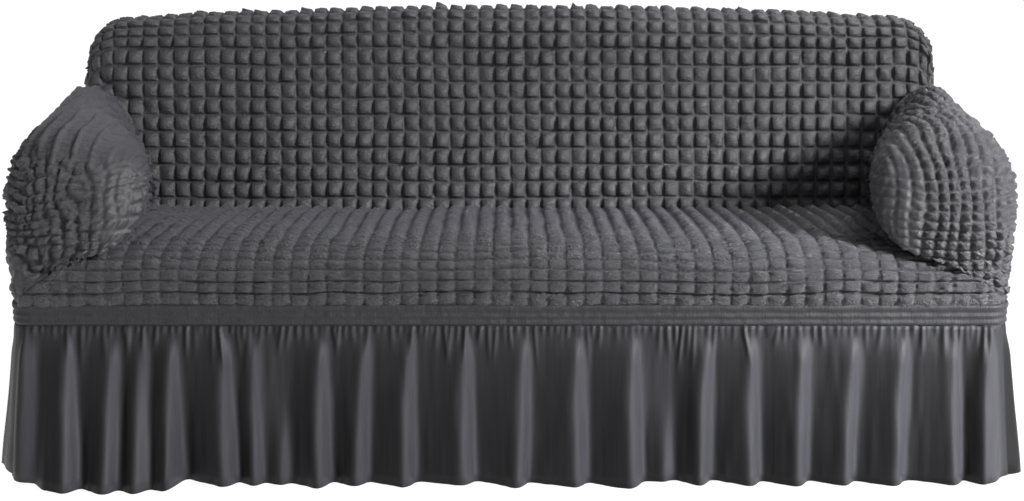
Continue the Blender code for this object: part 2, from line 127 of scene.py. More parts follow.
# The front skirt's folds: place along the front at the band, how far it has moved along at the hem,
# half width, how far the ridge stands out at the hem, the height where it fades and its sideways lean.
FOLD_COLUMNS = ("place", "drift", "half_width", "depth", "fades_at", "lean")
FRONT_FOLDS = (
    (-0.975, -0.010, 0.026, 0.040, 0.330, -0.30),
    (-0.898, 0.012, 0.020, 0.036, 0.330, 0.30),
    (-0.804, -0.004, 0.018, 0.032, 0.325, 0.35),
    (-0.745, 0.004, 0.017, 0.028, 0.320, -0.20),
    (-0.685, 0.006, 0.020, 0.034, 0.330, 0.35),
    (-0.576, 0.010, 0.022, 0.040, 0.330, 0.35),
    (-0.519, 0.006, 0.016, 0.026, 0.300, 0.40),
    (-0.455, -0.004, 0.014, 0.018, 0.190, 0.20),
    (-0.377, 0.002, 0.022, 0.038, 0.330, 0.40),
    (-0.287, -0.012, 0.020, 0.032, 0.320, 0.40),
    (-0.197, -0.004, 0.020, 0.034, 0.325, 0.40),
    (-0.082, 0.004, 0.022, 0.038, 0.330, 0.35),
    (0.039, -0.006, 0.020, 0.036, 0.330, 0.40),
    (0.150, 0.004, 0.022, 0.036, 0.325, 0.35),
    (0.261, 0.008, 0.022, 0.040, 0.330, 0.40),
    (0.336, -0.004, 0.014, 0.018, 0.200, 0.20),
    (0.414, -0.006, 0.022, 0.038, 0.330, 0.40),
    (0.505, 0.006, 0.020, 0.034, 0.320, 0.35),
    (0.613, -0.004, 0.022, 0.038, 0.330, 0.40),
    (0.716, -0.012, 0.020, 0.034, 0.325, 0.40),
    (0.816, -0.008, 0.020, 0.036, 0.330, 0.40),
    (0.919, 0.010, 0.020, 0.034, 0.325, 0.40),
    (0.992, 0.004, 0.024, 0.040, 0.330, 0.20),
)


def column(columns, rows, name):
    """One named column of a table."""
    return np.array([row[columns.index(name)] for row in rows], dtype=float)


def ease(value):
    """A smooth step from 0 to 1."""
    held = np.clip(value, 0.0, 1.0)
    return held * held * (3.0 - 2.0 * held)


def eased(value, stretch):
    """A smooth step from 0 at a stretch's start to 1 after its length, which may run backwards."""
    start, length = stretch
    return ease((value - start) / length)


def mixed(amounts, *shares):
    """The first amount, with each further one added by its share."""
    total = amounts[0]
    for amount, share in zip(amounts[1:], shares):
        total = total + amount * share
    return total


def between(values, first, last, fades):
    """1 between two ends, easing to 0 at each one over its own fade."""
    return ease((values - first) / fades[0]) * ease((last - values) / fades[1])


def spline(knots, values, at):
    """A natural cubic curve through rows of values at the knots, read at each place in at."""
    knots = np.asarray(knots, dtype=float)
    values = np.asarray(values, dtype=float)
    count = len(knots)
    span = np.diff(knots)
    system = np.eye(count)
    flat = values.reshape(count, -1)
    right = np.zeros_like(flat)
    for row in range(1, count - 1):
        system[row, row - 1] = span[row - 1]
        system[row, row] = 2.0 * (span[row - 1] + span[row])
        system[row, row + 1] = span[row]
        rise_after = (flat[row + 1] - flat[row]) / span[row]
        rise_before = (flat[row] - flat[row - 1]) / span[row - 1]
        right[row] = 6.0 * (rise_after - rise_before)
    bend = np.linalg.solve(system, right)
    places = np.atleast_1d(np.asarray(at, dtype=float))
    index = np.clip(np.searchsorted(knots, places) - 1, 0, count - 2)
    width = span[index][:, None]
    ahead = (places - knots[index])[:, None]
    left = (knots[index + 1] - places)[:, None]
    curve = (bend[index] * left ** 3 + bend[index + 1] * ahead ** 3) / (6.0 * width)
    curve = curve + (flat[index] / width - bend[index] * width / 6.0) * left
    curve = curve + (flat[index + 1] / width - bend[index + 1] * width / 6.0) * ahead
    return curve.reshape((len(places),) + values.shape[1:])


def chord_knots(points):
    """Knots from 0 to 1 by the distance between neighbouring points."""
    steps = np.linalg.norm(np.diff(np.asarray(points, dtype=float), axis=0), axis=1)
    return np.concatenate(([0.0], np.cumsum(steps))) / steps.sum()


def run_length(points):
    """Distance walked along a line of points, from its first one."""
    steps = np.linalg.norm(np.diff(points, axis=0), axis=1)
    return np.concatenate(([0.0], np.cumsum(steps)))


# ---------------------------------------------------------------------------------------------------
# The cover's surfaces
# ---------------------------------------------------------------------------------------------------

def side_reach(height):
    """Half width of the cover's ends at a height: the band's, swelling to the back's."""
    swell = ease((np.asarray(height, dtype=float) - BAND_TOP) / BULGE_HEIGHT)
    return BASE_HALF_WIDTH + (BACK_HALF_WIDTH - BASE_HALF_WIDTH) * swell


def tapered(reference, height):
    """Distance along the back of a place on it, drawn in at its ends where they go down to the band."""
    near_end = ease((np.abs(reference) - TAPER_START) / (BACK_HALF_WIDTH - TAPER_START))
    return reference - np.sign(reference) * (BACK_HALF_WIDTH - side_reach(height)) * near_end


def end_share(reference):
    """How full the back's cross section is at a place along it: 1 along its length, 0 at its ends."""
    into_end = (np.abs(reference) - (BACK_HALF_WIDTH - BACK_END_ROUND)) / BACK_END_ROUND
    held = np.clip(into_end, 0.0, 1.0)
    return (1.0 - held ** BACK_END_POWER) ** (1.0 / BACK_END_POWER)


def back_front_y(height):
    """Depth of the inside back's face, which leans a little."""
    rise = (np.asarray(height, dtype=float) - BACK_FOOT_HEIGHT) / (BACK_SHOULDER - BACK_FOOT_HEIGHT)
    return BACK_FOOT_Y + (BACK_SHOULDER_Y - BACK_FOOT_Y) * np.clip(rise, -0.2, 1.0)


def seat_profile(along):
    """Points (y, height) on the seat's profile at places from 0, the back seam, to 1, the band."""
    points = np.column_stack([column(SEAT_COLUMNS, SEAT_PROFILE, name) for name in SEAT_COLUMNS])
    return spline(chord_knots(points), points, along)


def corner_set_back(x):
    """How far the base line stands back from the front at a place along it, round the corners."""
    into = np.clip(np.abs(x) - (BASE_HALF_WIDTH - FRONT_CORNER), 0.0, FRONT_CORNER)
    return FRONT_CORNER - np.sqrt(FRONT_CORNER ** 2 - into ** 2)


def on_front(along):
    """How far a place on the seat's profile is round the front edge, 0 on the seat and 1 in front."""
    return ease((np.asarray(along, dtype=float) - FRONT_TURN[0]) / FRONT_TURN[1])


def arm_foot(section):
    """Where a section meets the seat panel: (y, height) just off the seat's profile, round the corner."""
    row = dict(zip(ARM_COLUMNS, section))
    y, height = seat_profile(row["along"])[0]
    in_front = float(on_front(row["along"]))
    set_back = float(corner_set_back(row["foot"]))
    return y + (set_back - ARM_FOOT_LIFT) * in_front, height + ARM_FOOT_LIFT * (1.0 - in_front)


def arm_arch(section, across):
    """Points (distance from the middle, height up the section) over one arm section, and its knots."""
    row = dict(zip(ARM_COLUMNS, section))
    foot_y, foot_height = arm_foot(section)
    foot_up = foot_height - BAND_TOP
    if row["turn"] > 0:
        foot_up = math.hypot(ARM_PIVOT_Y - foot_y, foot_height - BAND_TOP)
    points = (
        (BASE_HALF_WIDTH, EDGE_GAP),
        (row["out"], row["out_up"]),
        (row["shoulder"], row["shoulder_up"]),
        (row["crown"], row["crown_up"]),
        (row["belly"], row["belly_up"]),
        (row["foot"], foot_up),
    )
    knots = chord_knots(points)
    return spline(knots, points, across), knots


def arm_section_points(section, across):
    """One arm section's points (x, y, height), its last ones drawn on to the seat panel's line."""
    row = dict(zip(ARM_COLUMNS, section))
    arch, knots = arm_arch(section, across)
    turn = math.radians(row["turn"])
    x = arch[:, 0]
    y = row["y"] - arch[:, 1] * math.sin(turn)
    height = BAND_TOP + arch[:, 1] * math.cos(turn)
    if row["y"] > BACK_FOOT_Y:
        face = BACK_END_Y + (back_front_y(height) - BACK_END_Y) * end_share(x)
        y = np.where(across <= knots[2], BACK_END_Y - EDGE_GAP, face - ARM_REAR_GAP)
        x = np.where(across <= knots[1], side_reach(height), x)
    else:
        foot_y, foot_height = arm_foot(section)
        near_foot = ease((across - knots[-2]) / (1.0 - knots[-2]))
        y = y + (foot_y - y[-1]) * near_foot
        height = height + (foot_height - height[-1]) * near_foot
    return np.column_stack((x, y, np.maximum(height, BAND_TOP + EDGE_GAP)))


def arm_knots():
    """Places of the arm's sections from 0, the back, to 1, the front corner, by their crowns' spacing."""
    crowns = []
    for section in ARM_SECTIONS:
        row = dict(zip(ARM_COLUMNS, section))
        turn = math.radians(row["turn"])
        y = row["y"] - row["crown_up"] * math.sin(turn)
        crowns.append((row["crown"], y, row["crown_up"] * math.cos(turn)))
    return chord_knots(crowns)


def arm_points(across, along):
    """The arm sleeve's points on the +X side, a row for each place along it, as (x, y, height)."""
    sections = np.array([arm_section_points(section, across) for section in ARM_SECTIONS])
    return spline(arm_knots(), sections, along)


def back_foot_height(reference):
    """Height of the inside back's lower edge: the seat's back seam, then inside the arm's rear arch."""
    section = ARM_SECTIONS[0]
    _, knots = arm_arch(section, 0.0)
    arch, _ = arm_arch(section, np.linspace(1.0, knots[2], 60))
    under = np.abs(reference) - BACK_SIDE_TUCK
    beyond = np.abs(reference) + BACK_SIDE_TUCK
    over_arm = np.interp(under, arch[:, 0], BAND_TOP + arch[:, 1])
    over_arm = np.minimum(over_arm, np.interp(beyond, arch[:, 0], BAND_TOP + arch[:, 1]))
    foot = section[ARM_COLUMNS.index("foot")]
    return np.where(under <= foot, BACK_FOOT_HEIGHT, over_arm)


def seat_half_width(along):
    """The seat panel's half width at places on its profile: the arm's foot line."""
    places = column(ARM_COLUMNS, ARM_SECTIONS, "along")
    feet = column(ARM_COLUMNS, ARM_SECTIONS, "foot")
    fine = spline(arm_knots(), np.column_stack((places, feet)), np.linspace(0.0, 1.0, 200))
    return np.interp(along, np.maximum.accumulate(fine[:, 0]), fine[:, 1])


def back_top_height(reference):
    """Height of the back's top, lower towards its ends."""
    return BACK_TOP_CENTRE - BACK_TOP_DROP * (reference / BACK_HALF_WIDTH) ** 2


def back_shoulder(share):
    """Height where the back's rounded top starts, lower at its ends."""
    return BACK_END_HEIGHT + (BACK_SHOULDER - BACK_END_HEIGHT) * share


def back_crown(reference, share, angle):
    """Points (y, height) over the back's rounded top, angle 0 at its front shoulder."""
    crown = (back_top_height(reference) - BACK_SHOULDER) * share
    sideways = np.sign(np.cos(angle)) * np.abs(np.cos(angle)) ** (2.0 / BACK_TOP_POWER)
    upward = np.sign(np.sin(angle)) * np.abs(np.sin(angle)) ** (2.0 / BACK_TOP_POWER)
    front_reach = (BACK_TOP_Y - BACK_SHOULDER_Y) * share
    rear_reach = (BASE_DEPTH + REAR_BULGE - BACK_TOP_Y) * share
    reach = np.where(sideways > 0.0, front_reach, rear_reach)
    return BACK_END_Y - reach * sideways, back_shoulder(share) + crown * upward


def end_line(samples=400):
    """Places along half of the back by the cloth's own run round its rounded end: run, place, share."""
    straight = BACK_HALF_WIDTH - BACK_END_ROUND
    angle = np.linspace(0.0, math.pi / 2, samples)
    place = straight + BACK_END_ROUND * np.sin(angle) ** (2.0 / BACK_END_POWER)
    share = np.cos(angle) ** (2.0 / BACK_END_POWER)
    share[-1] = 0.0
    depth = (BACK_END_Y - BACK_FOOT_Y) * (1.0 - share)
    run = straight + run_length(np.column_stack((place, depth)))
    return np.concatenate(([0.0], run)), np.concatenate(([0.0], place)), np.concatenate(([1.0], share))


# ---------------------------------------------------------------------------------------------------
# Puffs, creases and unevenness
# ---------------------------------------------------------------------------------------------------

# A puff's section, in shares of a cell: the flat at the thread, the flank and the dome's own rise.
GROOVE_SHARE = 0.04
FLANK_SHARE = 0.135
DOME_RISE = 0.10

# What differs from puff to puff: least height and how much is drawn on top, tilt and what it is drawn
# against, how far the lower left corner drops, how seldom it does so far and how far it may at most,
# the turn of that corner, and how deep and wide the two creases over a puff are and how far they stray.
PUFF_HEIGHTS = (0.74, 0.40)
PUFF_TILT = 0.30
PUFF_TILT_MIDDLE = 0.2
CORNER_DROP = 1.9
CORNER_DROP_POWER = 1.4
CORNER_DROP_MOST = 0.85
CORNER_START = 0.02
CORNER_TURN = (0.25, 0.34)
PUFF_CREASE_DEPTH = 0.32
PUFF_CREASE_WIDTH = 0.10
PUFF_CREASE_STRAY = 0.4

# Random values are drawn on a square of this many cells, which then repeats.
LATTICE = 96

# How far a panel's lines stray, over what distance, metres, and the seed of it.
DRIFTS = {"seat": (0.0030, 0.12, 11), "back": (0.0024, 0.14, 31), "rear": (0.0024, 0.15, 51)}
ARM_DRIFT = (0.0045, 0.07)

# The slow rise and fall of a whole panel: how much, its size along and down the panel, metres, its seed.
SWELLS = {
    "seat": (0.004, 0.30, 0.25, 25),
    "back": (0.005, 0.35, 0.22, 45),
    "rear": (0.006, 0.40, 0.25, 55),
}
SWELL_ORIGIN = 20.0


def cell_lines(first, last, shares):
    """Grid lines, counted in puffs, from first to last: at each whole puff and at the shares within."""
    lines = [cell + share for cell in range(math.floor(first), math.ceil(last)) for share in shares]
    inside = [line for line in lines if first < line < last]
    return np.array([first, *inside, last])


def smooth_noise(x, y, seed):
    """Smooth random values from -1 to 1 over a plane, with a new one at each unit."""
    lattice = np.random.default_rng(seed).uniform(-1.0, 1.0, (LATTICE, LATTICE))
    x, y = np.broadcast_arrays(np.asarray(x, dtype=float), np.asarray(y, dtype=float))
    left = np.floor(x).astype(int)
    low = np.floor(y).astype(int)
    across = ease(x - left)
    up = ease(y - low)
    corners = [lattice[(left + i) % LATTICE, (low + j) % LATTICE] for i in (0, 1) for j in (0, 1)]
    near = corners[0] + (corners[1] - corners[0]) * up
    far = corners[2] + (corners[3] - corners[2]) * up
    return near + (far - near) * across


def puff_profile(place, flank_share=FLANK_SHARE, lean=0.0):
    """A puff's height share across one cell: flat at the shirred thread, a steep flank, a low dome.

    lean is how much lower a puff is on its far side, where it runs out gently to the next thread.
    """
    from_thread = np.minimum(place, 1.0 - place)
    flank = ease((from_thread - GROOVE_SHARE) / flank_share)
    crest = GROOVE_SHARE + flank_share
    beyond = np.clip((place - crest) / (1.0 - crest), 0.0, 1.0)
    dome = 1.0 - DOME_RISE + DOME_RISE * ease(from_thread / 0.5)
    return flank * dome * (1.0 - lean * beyond)


def puff_relief(a, b, seed, depths=(1.0, 1.0), fall=0.95, flank_share=FLANK_SHARE, lean=0.0):
    """Height share of puffed cloth at places counted in puffs; no two puffs are alike.

    depths is how deep the threads between columns and between rows draw the cloth in, 1 being all the
    way; fall is how far a puff's lower left corner drops away, as its fullness gathers in the upper right.
    """
    draws = np.random.default_rng(seed).random((LATTICE, LATTICE, 10))
    column_index = np.floor(a).astype(int)
    row_index = np.floor(b).astype(int)
    draw = draws[column_index % LATTICE, row_index % LATTICE]
    s = a - column_index
    t = b - row_index
    across = 1.0 - depths[0] * (1.0 - puff_profile(s, flank_share, lean))
    along = 1.0 - depths[1] * (1.0 - puff_profile(t, flank_share, lean))
    tall = PUFF_HEIGHTS[0] + PUFF_HEIGHTS[1] * draw[..., 0]
    tilt_across = PUFF_TILT * (s - 0.5) * (draw[..., 1] - PUFF_TILT_MIDDLE)
    tilt = 1.0 + tilt_across + PUFF_TILT * (t - 0.5) * (draw[..., 2] - PUFF_TILT_MIDDLE)
    turn = math.pi * mixed(CORNER_TURN, draw[..., 8] - 0.5)
    toward_corner = -(s - 0.5) * np.cos(turn) - (t - 0.5) * np.sin(turn)
    into_corner = np.clip(toward_corner - CORNER_START, 0.0, 0.5) * 2.0
    drop = fall * CORNER_DROP * draw[..., 9] ** CORNER_DROP_POWER * into_corner
    pillow = across * along * (1.0 - np.clip(drop, 0.0, CORNER_DROP_MOST))
    for first in (3, 5):
        turn = math.pi * (draw[..., first] + 0.2)
        offset = PUFF_CREASE_STRAY * (draw[..., first + 1] - 0.5)
        from_crease = (s - 0.5) * np.cos(turn) + (t - 0.5) * np.sin(turn) - offset
        in_crease = np.exp(-(from_crease / PUFF_CREASE_WIDTH) ** 2)
        pillow = pillow * (1.0 - PUFF_CREASE_DEPTH * draw[..., 7] * in_crease)
    return pillow * tall * tilt


def surface_normals(points):
    """Unit normals of a grid of points, from its own rows and columns."""
    across = np.gradient(points, axis=1)
    along = np.gradient(points, axis=0)
    normals = np.cross(across, along)
    length = np.linalg.norm(normals, axis=2, keepdims=True)
    return normals / np.maximum(length, 1e-12)


def drift(points, amount, size, seed):
    """The points moved a little by smooth noise, so that no row or column runs dead straight."""
    moved = points.copy()
    u = points[..., 0] / size + 40.0
    v = (points[..., 2] - points[..., 1]) / size + 40.0
    for axis in range(3):
        moved[..., axis] += amount * smooth_noise(u, v, seed + axis)
    return moved


def ripple(places, share, size, seed):
    """Unevenness along a line, metres; size is its depth, its length and its change with the share."""
    depth, length, change = size
    return depth * smooth_noise(places / length, share * change, seed)


def panel_drift(panel, points):
    """A panel's points with its own drift."""
    return drift(points, *DRIFTS[panel])


def panel_swell(panel, x, down):
    """The slow rise and fall of a panel, metres, at places along it and down or up it."""
    amount, size_along, size_down, seed = SWELLS[panel]
    return amount * smooth_noise(x / size_along + SWELL_ORIGIN, down / size_down + SWELL_ORIGIN, seed)


def trough(points, path, width):
    """1 on a line through the path's points, fading to 0 within about twice the width."""
    nearest = np.full(points.shape[:2], np.inf)
    for start, end in zip(np.array(path)[:-1], np.array(path)[1:]):
        span = end - start
        share = np.clip(((points - start) @ span) / (span @ span), 0.0, 1.0)
        gap = np.linalg.norm(points - start - share[..., None] * span, axis=2)
        nearest = np.minimum(nearest, gap)
    return np.exp(-(nearest / width) ** 2)


# ---------------------------------------------------------------------------------------------------
# Meshes
# ---------------------------------------------------------------------------------------------------

# Points nearer than this are joined where a ring of cloth closes, metres.
WELD_DISTANCE = 0.00002


def trim(mesh, marked):
    """Delete the marked points of the active sheet."""
    bpy.ops.object.mode_set(mode="EDIT")
    bpy.ops.mesh.select_all(action="DESELECT")
    bpy.ops.object.mode_set(mode="OBJECT")
    mesh.vertices.foreach_set("select", marked)
    bpy.ops.object.mode_set(mode="EDIT")
    bpy.ops.mesh.delete(type="VERT")
    bpy.ops.object.mode_set(mode="OBJECT")


def finish_with(sheet, kind, settings):
    """Add a modifier to the active sheet with its settings, and apply it."""
    modifier = sheet.modifiers.new(kind.lower(), kind)
    for name, value in settings.items():
        setattr(modifier, name, value)
    bpy.ops.object.modifier_apply(modifier=modifier.name)


def cloth_sheet(name, points, fabric, relief, material, thickness, crumple=1.0, turned=False,
                closed=False, cut=None):
    """One sheet of cloth: a grid primitive moved on to rows of points, then given any thickness.

    fabric holds each point's place on the uncut cloth in metres and relief its share of the height, or the
    skirt's painted slope shade, both for the material; crumple is how strongly the cloth is crinkled
    there.
    turned lays its columns from the other end, so that its face is outside, closed joins its ends to a
    ring, and cut marks the points that are trimmed off.
    """
    grids = [points, fabric, relief, crumple + 0.0 * relief]
    if turned:
        grids = [grid[:, ::-1] for grid in grids]
    if closed:
        grids = [np.concatenate((grid, grid[:, :1]), axis=1) for grid in grids]
    points, fabric, relief, crumple = grids
    rows, columns = points.shape[:2]
    bpy.ops.object.select_all(action="DESELECT")
    bpy.ops.mesh.primitive_grid_add(x_subdivisions=columns - 1, y_subdivisions=rows - 1, size=2.0)
    sheet = bpy.context.object
    sheet.name = name
    mesh = sheet.data
    mesh.name = name
    flat = np.empty(len(mesh.vertices) * 3)
    mesh.vertices.foreach_get("co", flat)
    flat = flat.reshape(-1, 3)
    column_index = np.rint((flat[:, 0] + 1.0) / 2.0 * (columns - 1)).astype(int)
    row_index = np.rint((flat[:, 1] + 1.0) / 2.0 * (rows - 1)).astype(int)
    placed = points[row_index, column_index] - MOUNT_POINT
    mesh.vertices.foreach_set("co", placed.ravel())
    place = mesh.attributes.new("fabric", "FLOAT_VECTOR", "POINT")
    cloth_place = np.column_stack((fabric[row_index, column_index], relief[row_index, column_index]))
    place.data.foreach_set("vector", cloth_place.ravel())
    crinkled = mesh.attributes.new("crumple", "FLOAT", "POINT")
    crinkled.data.foreach_set("value", crumple[row_index, column_index])
    for unused in list(mesh.uv_layers):
        mesh.uv_layers.remove(unused)
    mesh.update()
    if cut is not None:
        trim(mesh, cut[row_index, column_index])
    if closed:
        finish_with(sheet, "WELD", {"merge_threshold": WELD_DISTANCE})
    if thickness > 0.0:
        finish_with(sheet, "SOLIDIFY", {"thickness": thickness, "offset": -1.0, "use_even_offset": False})
    bpy.ops.object.shade_smooth()
    sheet.data.materials.clear()
    sheet.data.materials.append(material)
    return sheet


def settle(sheet, node):
    """Attach a sheet to the body and hide the CAD node that it replaces."""
    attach(sheet, "root")
    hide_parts(node)


# ---------------------------------------------------------------------------------------------------
# Materials
# ---------------------------------------------------------------------------------------------------

def linear(code):
    """The linear colour of an sRGB hex code such as #4a4a4f."""
    shares = [int(code[start:start + 2], 16) / 255.0 for start in (1, 3, 5)]
    return [share / 12.92 if share <= 0.04045 else ((share + 0.055) / 1.055) ** 2.4 for share in shares]


def add_node(tree, kind, settings=None, links=None):
    """One shader node with its settings and input values, fed by the given sockets."""
    node = tree.nodes.new(kind)
    for name, value in (settings or {}).items():
        if hasattr(node, name):
            setattr(node, name, value)
        else:
            node.inputs[name].default_value = value
    for name, source in (links or {}).items():
        tree.links.new(source, node.inputs[name])
    return node


def cloth_base(name, roughness, sheen, sheen_tint, specular):
    """A new cloth material with its shader; what is the same all over is set on the shader itself."""
    material = bpy.data.materials.new(name)
    material.use_nodes = True
    tree = material.node_tree
    shader = tree.nodes["Principled BSDF"]
    shader.inputs["Roughness"].default_value = roughness
    shader.inputs["Metallic"].default_value = 0.0
    shader.inputs["IOR"].default_value = 1.5
    shader.inputs["Specular IOR Level"].default_value = specular
    shader.inputs["Sheen Weight"].default_value = sheen
    shader.inputs["Sheen Roughness"].default_value = 0.45
    shader.inputs["Sheen Tint"].default_value = (*sheen_tint, 1.0)
    return material, tree, shader


def cloth_pattern(tree, place, kind, scale, settings):
    """A texture that lies on the cloth, its scale in cells to the metre along the cloth and up it."""
    laid = add_node(tree, "ShaderNodeMapping", {"Scale": (*scale, 1.0)},
                    {"Vector": place.outputs["Vector"]})
    return add_node(tree, kind, {"Scale": 1.0, **settings}, {"Vector": laid.outputs["Vector"]})


def shaded(tree, shader, colour, factor):
    """Give a shader its colour, darker or lighter by a factor that varies over it."""
    shade = add_node(tree, "ShaderNodeVectorMath", {"operation": "SCALE"}, {"Scale": factor})
    shade.inputs[0].default_value = colour
    tree.links.new(shade.outputs["Vector"], shader.inputs["Base Color"])
    return shade


def puffed_knit(name, colour, groove_colour):
    """Bubble-stitched polyester knit, charcoal: matt, crinkled on each puff, smoother on its threads."""
    material, tree, shader = cloth_base(name, 0.52, 0.20, linear("#b9b9c6"), 0.6)
    place = add_node(tree, "ShaderNodeAttribute", {"attribute_name": "fabric"})
    parts = add_node(tree, "ShaderNodeSeparateXYZ", links={"Vector": place.outputs["Vector"]})
    # Crinkles about 7 mm long and 3 mm high, as the gathered knit has on every puff.
    crinkle = cloth_pattern(tree, place, "ShaderNodeTexNoise", (140.0, 330.0),
                            {"Detail": 2.5, "Roughness": 0.55, "Distortion": 0.8})
    # Stitches about 1.6 mm apart: the real knit is near 0.8 mm, drawn coarser so that it shows.
    stitch = cloth_pattern(tree, place, "ShaderNodeTexVoronoi", (620.0, 620.0), {"Randomness": 0.6})
    # Broad, faint differences in shade, a hand's breadth across.
    patch = cloth_pattern(tree, place, "ShaderNodeTexNoise", (9.0, 9.0), {"Detail": 2.0})
    raised = add_node(tree, "ShaderNodeMapRange", {"From Min": 0.0, "From Max": 0.55},
                      {"Value": parts.outputs["Z"]})
    tone = add_node(tree, "ShaderNodeMix", {"data_type": "RGBA"}, {"Factor": raised.outputs["Result"]})
    tone.inputs[6].default_value = (*groove_colour, 1.0)
    tone.inputs[7].default_value = (*colour, 1.0)
    mottle = add_node(tree, "ShaderNodeMath", {"operation": "ADD"},
                      {0: crinkle.outputs["Fac"], 1: patch.outputs["Fac"]})
    strength = add_node(tree, "ShaderNodeMapRange", {"From Min": 0.7, "From Max": 1.3,
                                                     "To Min": 0.80, "To Max": 1.22},
                        {"Value": mottle.outputs["Value"]})
    shade = shaded(tree, shader, colour, strength.outputs["Result"])
    tree.links.new(tone.outputs[2], shade.inputs[0])
    fine = add_node(tree, "ShaderNodeBump", {"Strength": 0.35, "Distance": 0.0006},
                    {"Height": stitch.outputs["Distance"]})
    amount = add_node(tree, "ShaderNodeAttribute", {"attribute_name": "crumple"})
    crinkle_height = add_node(tree, "ShaderNodeMath", {"operation": "MULTIPLY"},
                              {0: crinkle.outputs["Fac"], 1: amount.outputs["Fac"]})
    crinkled = add_node(tree, "ShaderNodeBump", {"Strength": 1.0, "Distance": 0.0026},
                        {"Height": crinkle_height.outputs["Value"], "Normal": fine.outputs["Normal"]})
    tree.links.new(crinkled.outputs["Normal"], shader.inputs["Normal"])
    return material


def shirred_elastic(name, colour):
    """Shirred elastic: the same yarn drawn up tight, with fine upright gathers between its threads."""
    material, tree, shader = cloth_base(name, 0.62, 0.10, linear("#b9b9c6"), 0.42)
    place = add_node(tree, "ShaderNodeAttribute", {"attribute_name": "fabric"})
    # Gathers about 4 mm apart, running up the band.
    gather = cloth_pattern(tree, place, "ShaderNodeTexNoise", (260.0, 40.0),
                           {"Detail": 2.0, "Distortion": 0.4})
    strength = add_node(tree, "ShaderNodeMapRange", {"From Min": 0.3, "From Max": 0.7,
                                                     "To Min": 0.82, "To Max": 1.18},
                        {"Value": gather.outputs["Fac"]})
    shaded(tree, shader, colour, strength.outputs["Result"])
    bump = add_node(tree, "ShaderNodeBump", {"Strength": 0.8, "Distance": 0.0016},
                    {"Height": gather.outputs["Fac"]})
    tree.links.new(bump.outputs["Normal"], shader.inputs["Normal"])
    return material


def brushed_polyester(name, colour):
    """Brushed polyester of the skirt: smooth and soft, with a low lustre; its folds carry painted shade on
    one slope and painted light on the other.
    """
    material, tree, shader = cloth_base(name, 0.52, 0.02, linear("#b4b4c2"), 0.20)
    place = add_node(tree, "ShaderNodeAttribute", {"attribute_name": "fabric"})
    parts = add_node(tree, "ShaderNodeSeparateXYZ", links={"Vector": place.outputs["Vector"]})
    # Painted shade and light: darker on a fold's slope that faces back along the line, lighter on the
    # slope that faces forward; on the front, slopes turned from and towards the key light.
    painted_slope_shade = add_node(tree, "ShaderNodeMapRange", {"To Min": 0.30, "To Max": 2.40},
                   {"Value": parts.outputs["Z"]})
    # Faint upright streaks a few millimetres apart, from the weave's warp and the gathering.
    streak = cloth_pattern(tree, place, "ShaderNodeTexNoise", (170.0, 14.0), {"Detail": 3.0})
    # Plain weave, about 1.2 mm a thread: the real one is near 0.4 mm, drawn coarser so that it shows.
    weave = cloth_pattern(tree, place, "ShaderNodeTexVoronoi", (830.0, 830.0), {"Randomness": 0.35})
    strength = add_node(tree, "ShaderNodeMapRange", {"From Min": 0.3, "From Max": 0.7,
                                                     "To Min": 0.90, "To Max": 1.10},
                        {"Value": streak.outputs["Fac"]})
    # The streaks' tone times the painted slope shade.
    depth = add_node(tree, "ShaderNodeMath", {"operation": "MULTIPLY"},
                     {0: strength.outputs["Result"], 1: painted_slope_shade.outputs["Result"]})
    shaded(tree, shader, colour, depth.outputs["Value"])
    fine = add_node(tree, "ShaderNodeBump", {"Strength": 0.25, "Distance": 0.0004},
                    {"Height": weave.outputs["Distance"]})
    soft = add_node(tree, "ShaderNodeBump", {"Strength": 0.35, "Distance": 0.0014},
                    {"Height": streak.outputs["Fac"], "Normal": fine.outputs["Normal"]})
    tree.links.new(soft.outputs["Normal"], shader.inputs["Normal"])
    return material


def matt_floor(colour):
    """Matt white studio floor, lit from within so that it stays as white as the surround."""
    material = bpy.data.materials.new("Matt white studio paint")
    material.use_nodes = True
    tree = material.node_tree
    shader = tree.nodes["Principled BSDF"]
    shader.inputs["Roughness"].default_value = 0.9
    shader.inputs["Specular IOR Level"].default_value = 0.1
    shader.inputs["Emission Color"].default_value = (1.0, 1.0, 1.0, 1.0)
    shader.inputs["Emission Strength"].default_value = 0.97
    place = add_node(tree, "ShaderNodeTexCoord")
    cloud = add_node(tree, "ShaderNodeTexNoise", {"Scale": 0.8, "Detail": 2.0},
                     {"Vector": place.outputs["Object"]})
    strength = add_node(tree, "ShaderNodeMapRange", {"To Min": 0.985, "To Max": 1.0},
                        {"Value": cloud.outputs["Fac"]})
    shaded(tree, shader, colour, strength.outputs["Result"])
    return material


# Each slot's material: its name, what makes it and the settings that colour it.
SLOT_CLOTHS = {
    "puffed_cloth": ("Bubble-stitched polyester knit", puffed_knit, ("puff_colour", "thread_colour")),
    "elastic_band": ("Shirred polyester elastic", shirred_elastic, ("band_colour",)),
    "skirt_cloth": ("Brushed plain-weave polyester", brushed_polyester, ("skirt_colour",)),
}


def slot_cloth(settings, slot):
    """A slot's material, made the first time that it is asked for."""
    name, maker, settings_names = SLOT_CLOTHS[slot]
    colours = [tuple(getattr(settings, item)) for item in settings_names]
    return bpy.data.materials.get(name) or maker(name, *colours)


# ---------------------------------------------------------------------------------------------------
# Panels
# ---------------------------------------------------------------------------------------------------

# Where the grid lines stand across one puff: close together where it rises, wide apart on its dome.
FINE_SHARES = (0.0, 0.045, 0.085, 0.125, 0.17, 0.45, 0.83, 0.89, 0.95)
ROW_SHARES = (0.0, 0.05, 0.09, 0.13, 0.175, 0.5, 0.84, 0.93)
SEAT_ROW_SHARES = (0.0, 0.06, 0.12, 0.20, 0.33, 0.46, 0.59, 0.72, 0.84, 0.94)
PLAIN_SHARES = (0.0, 0.07, 0.17, 0.5, 0.83, 0.93)

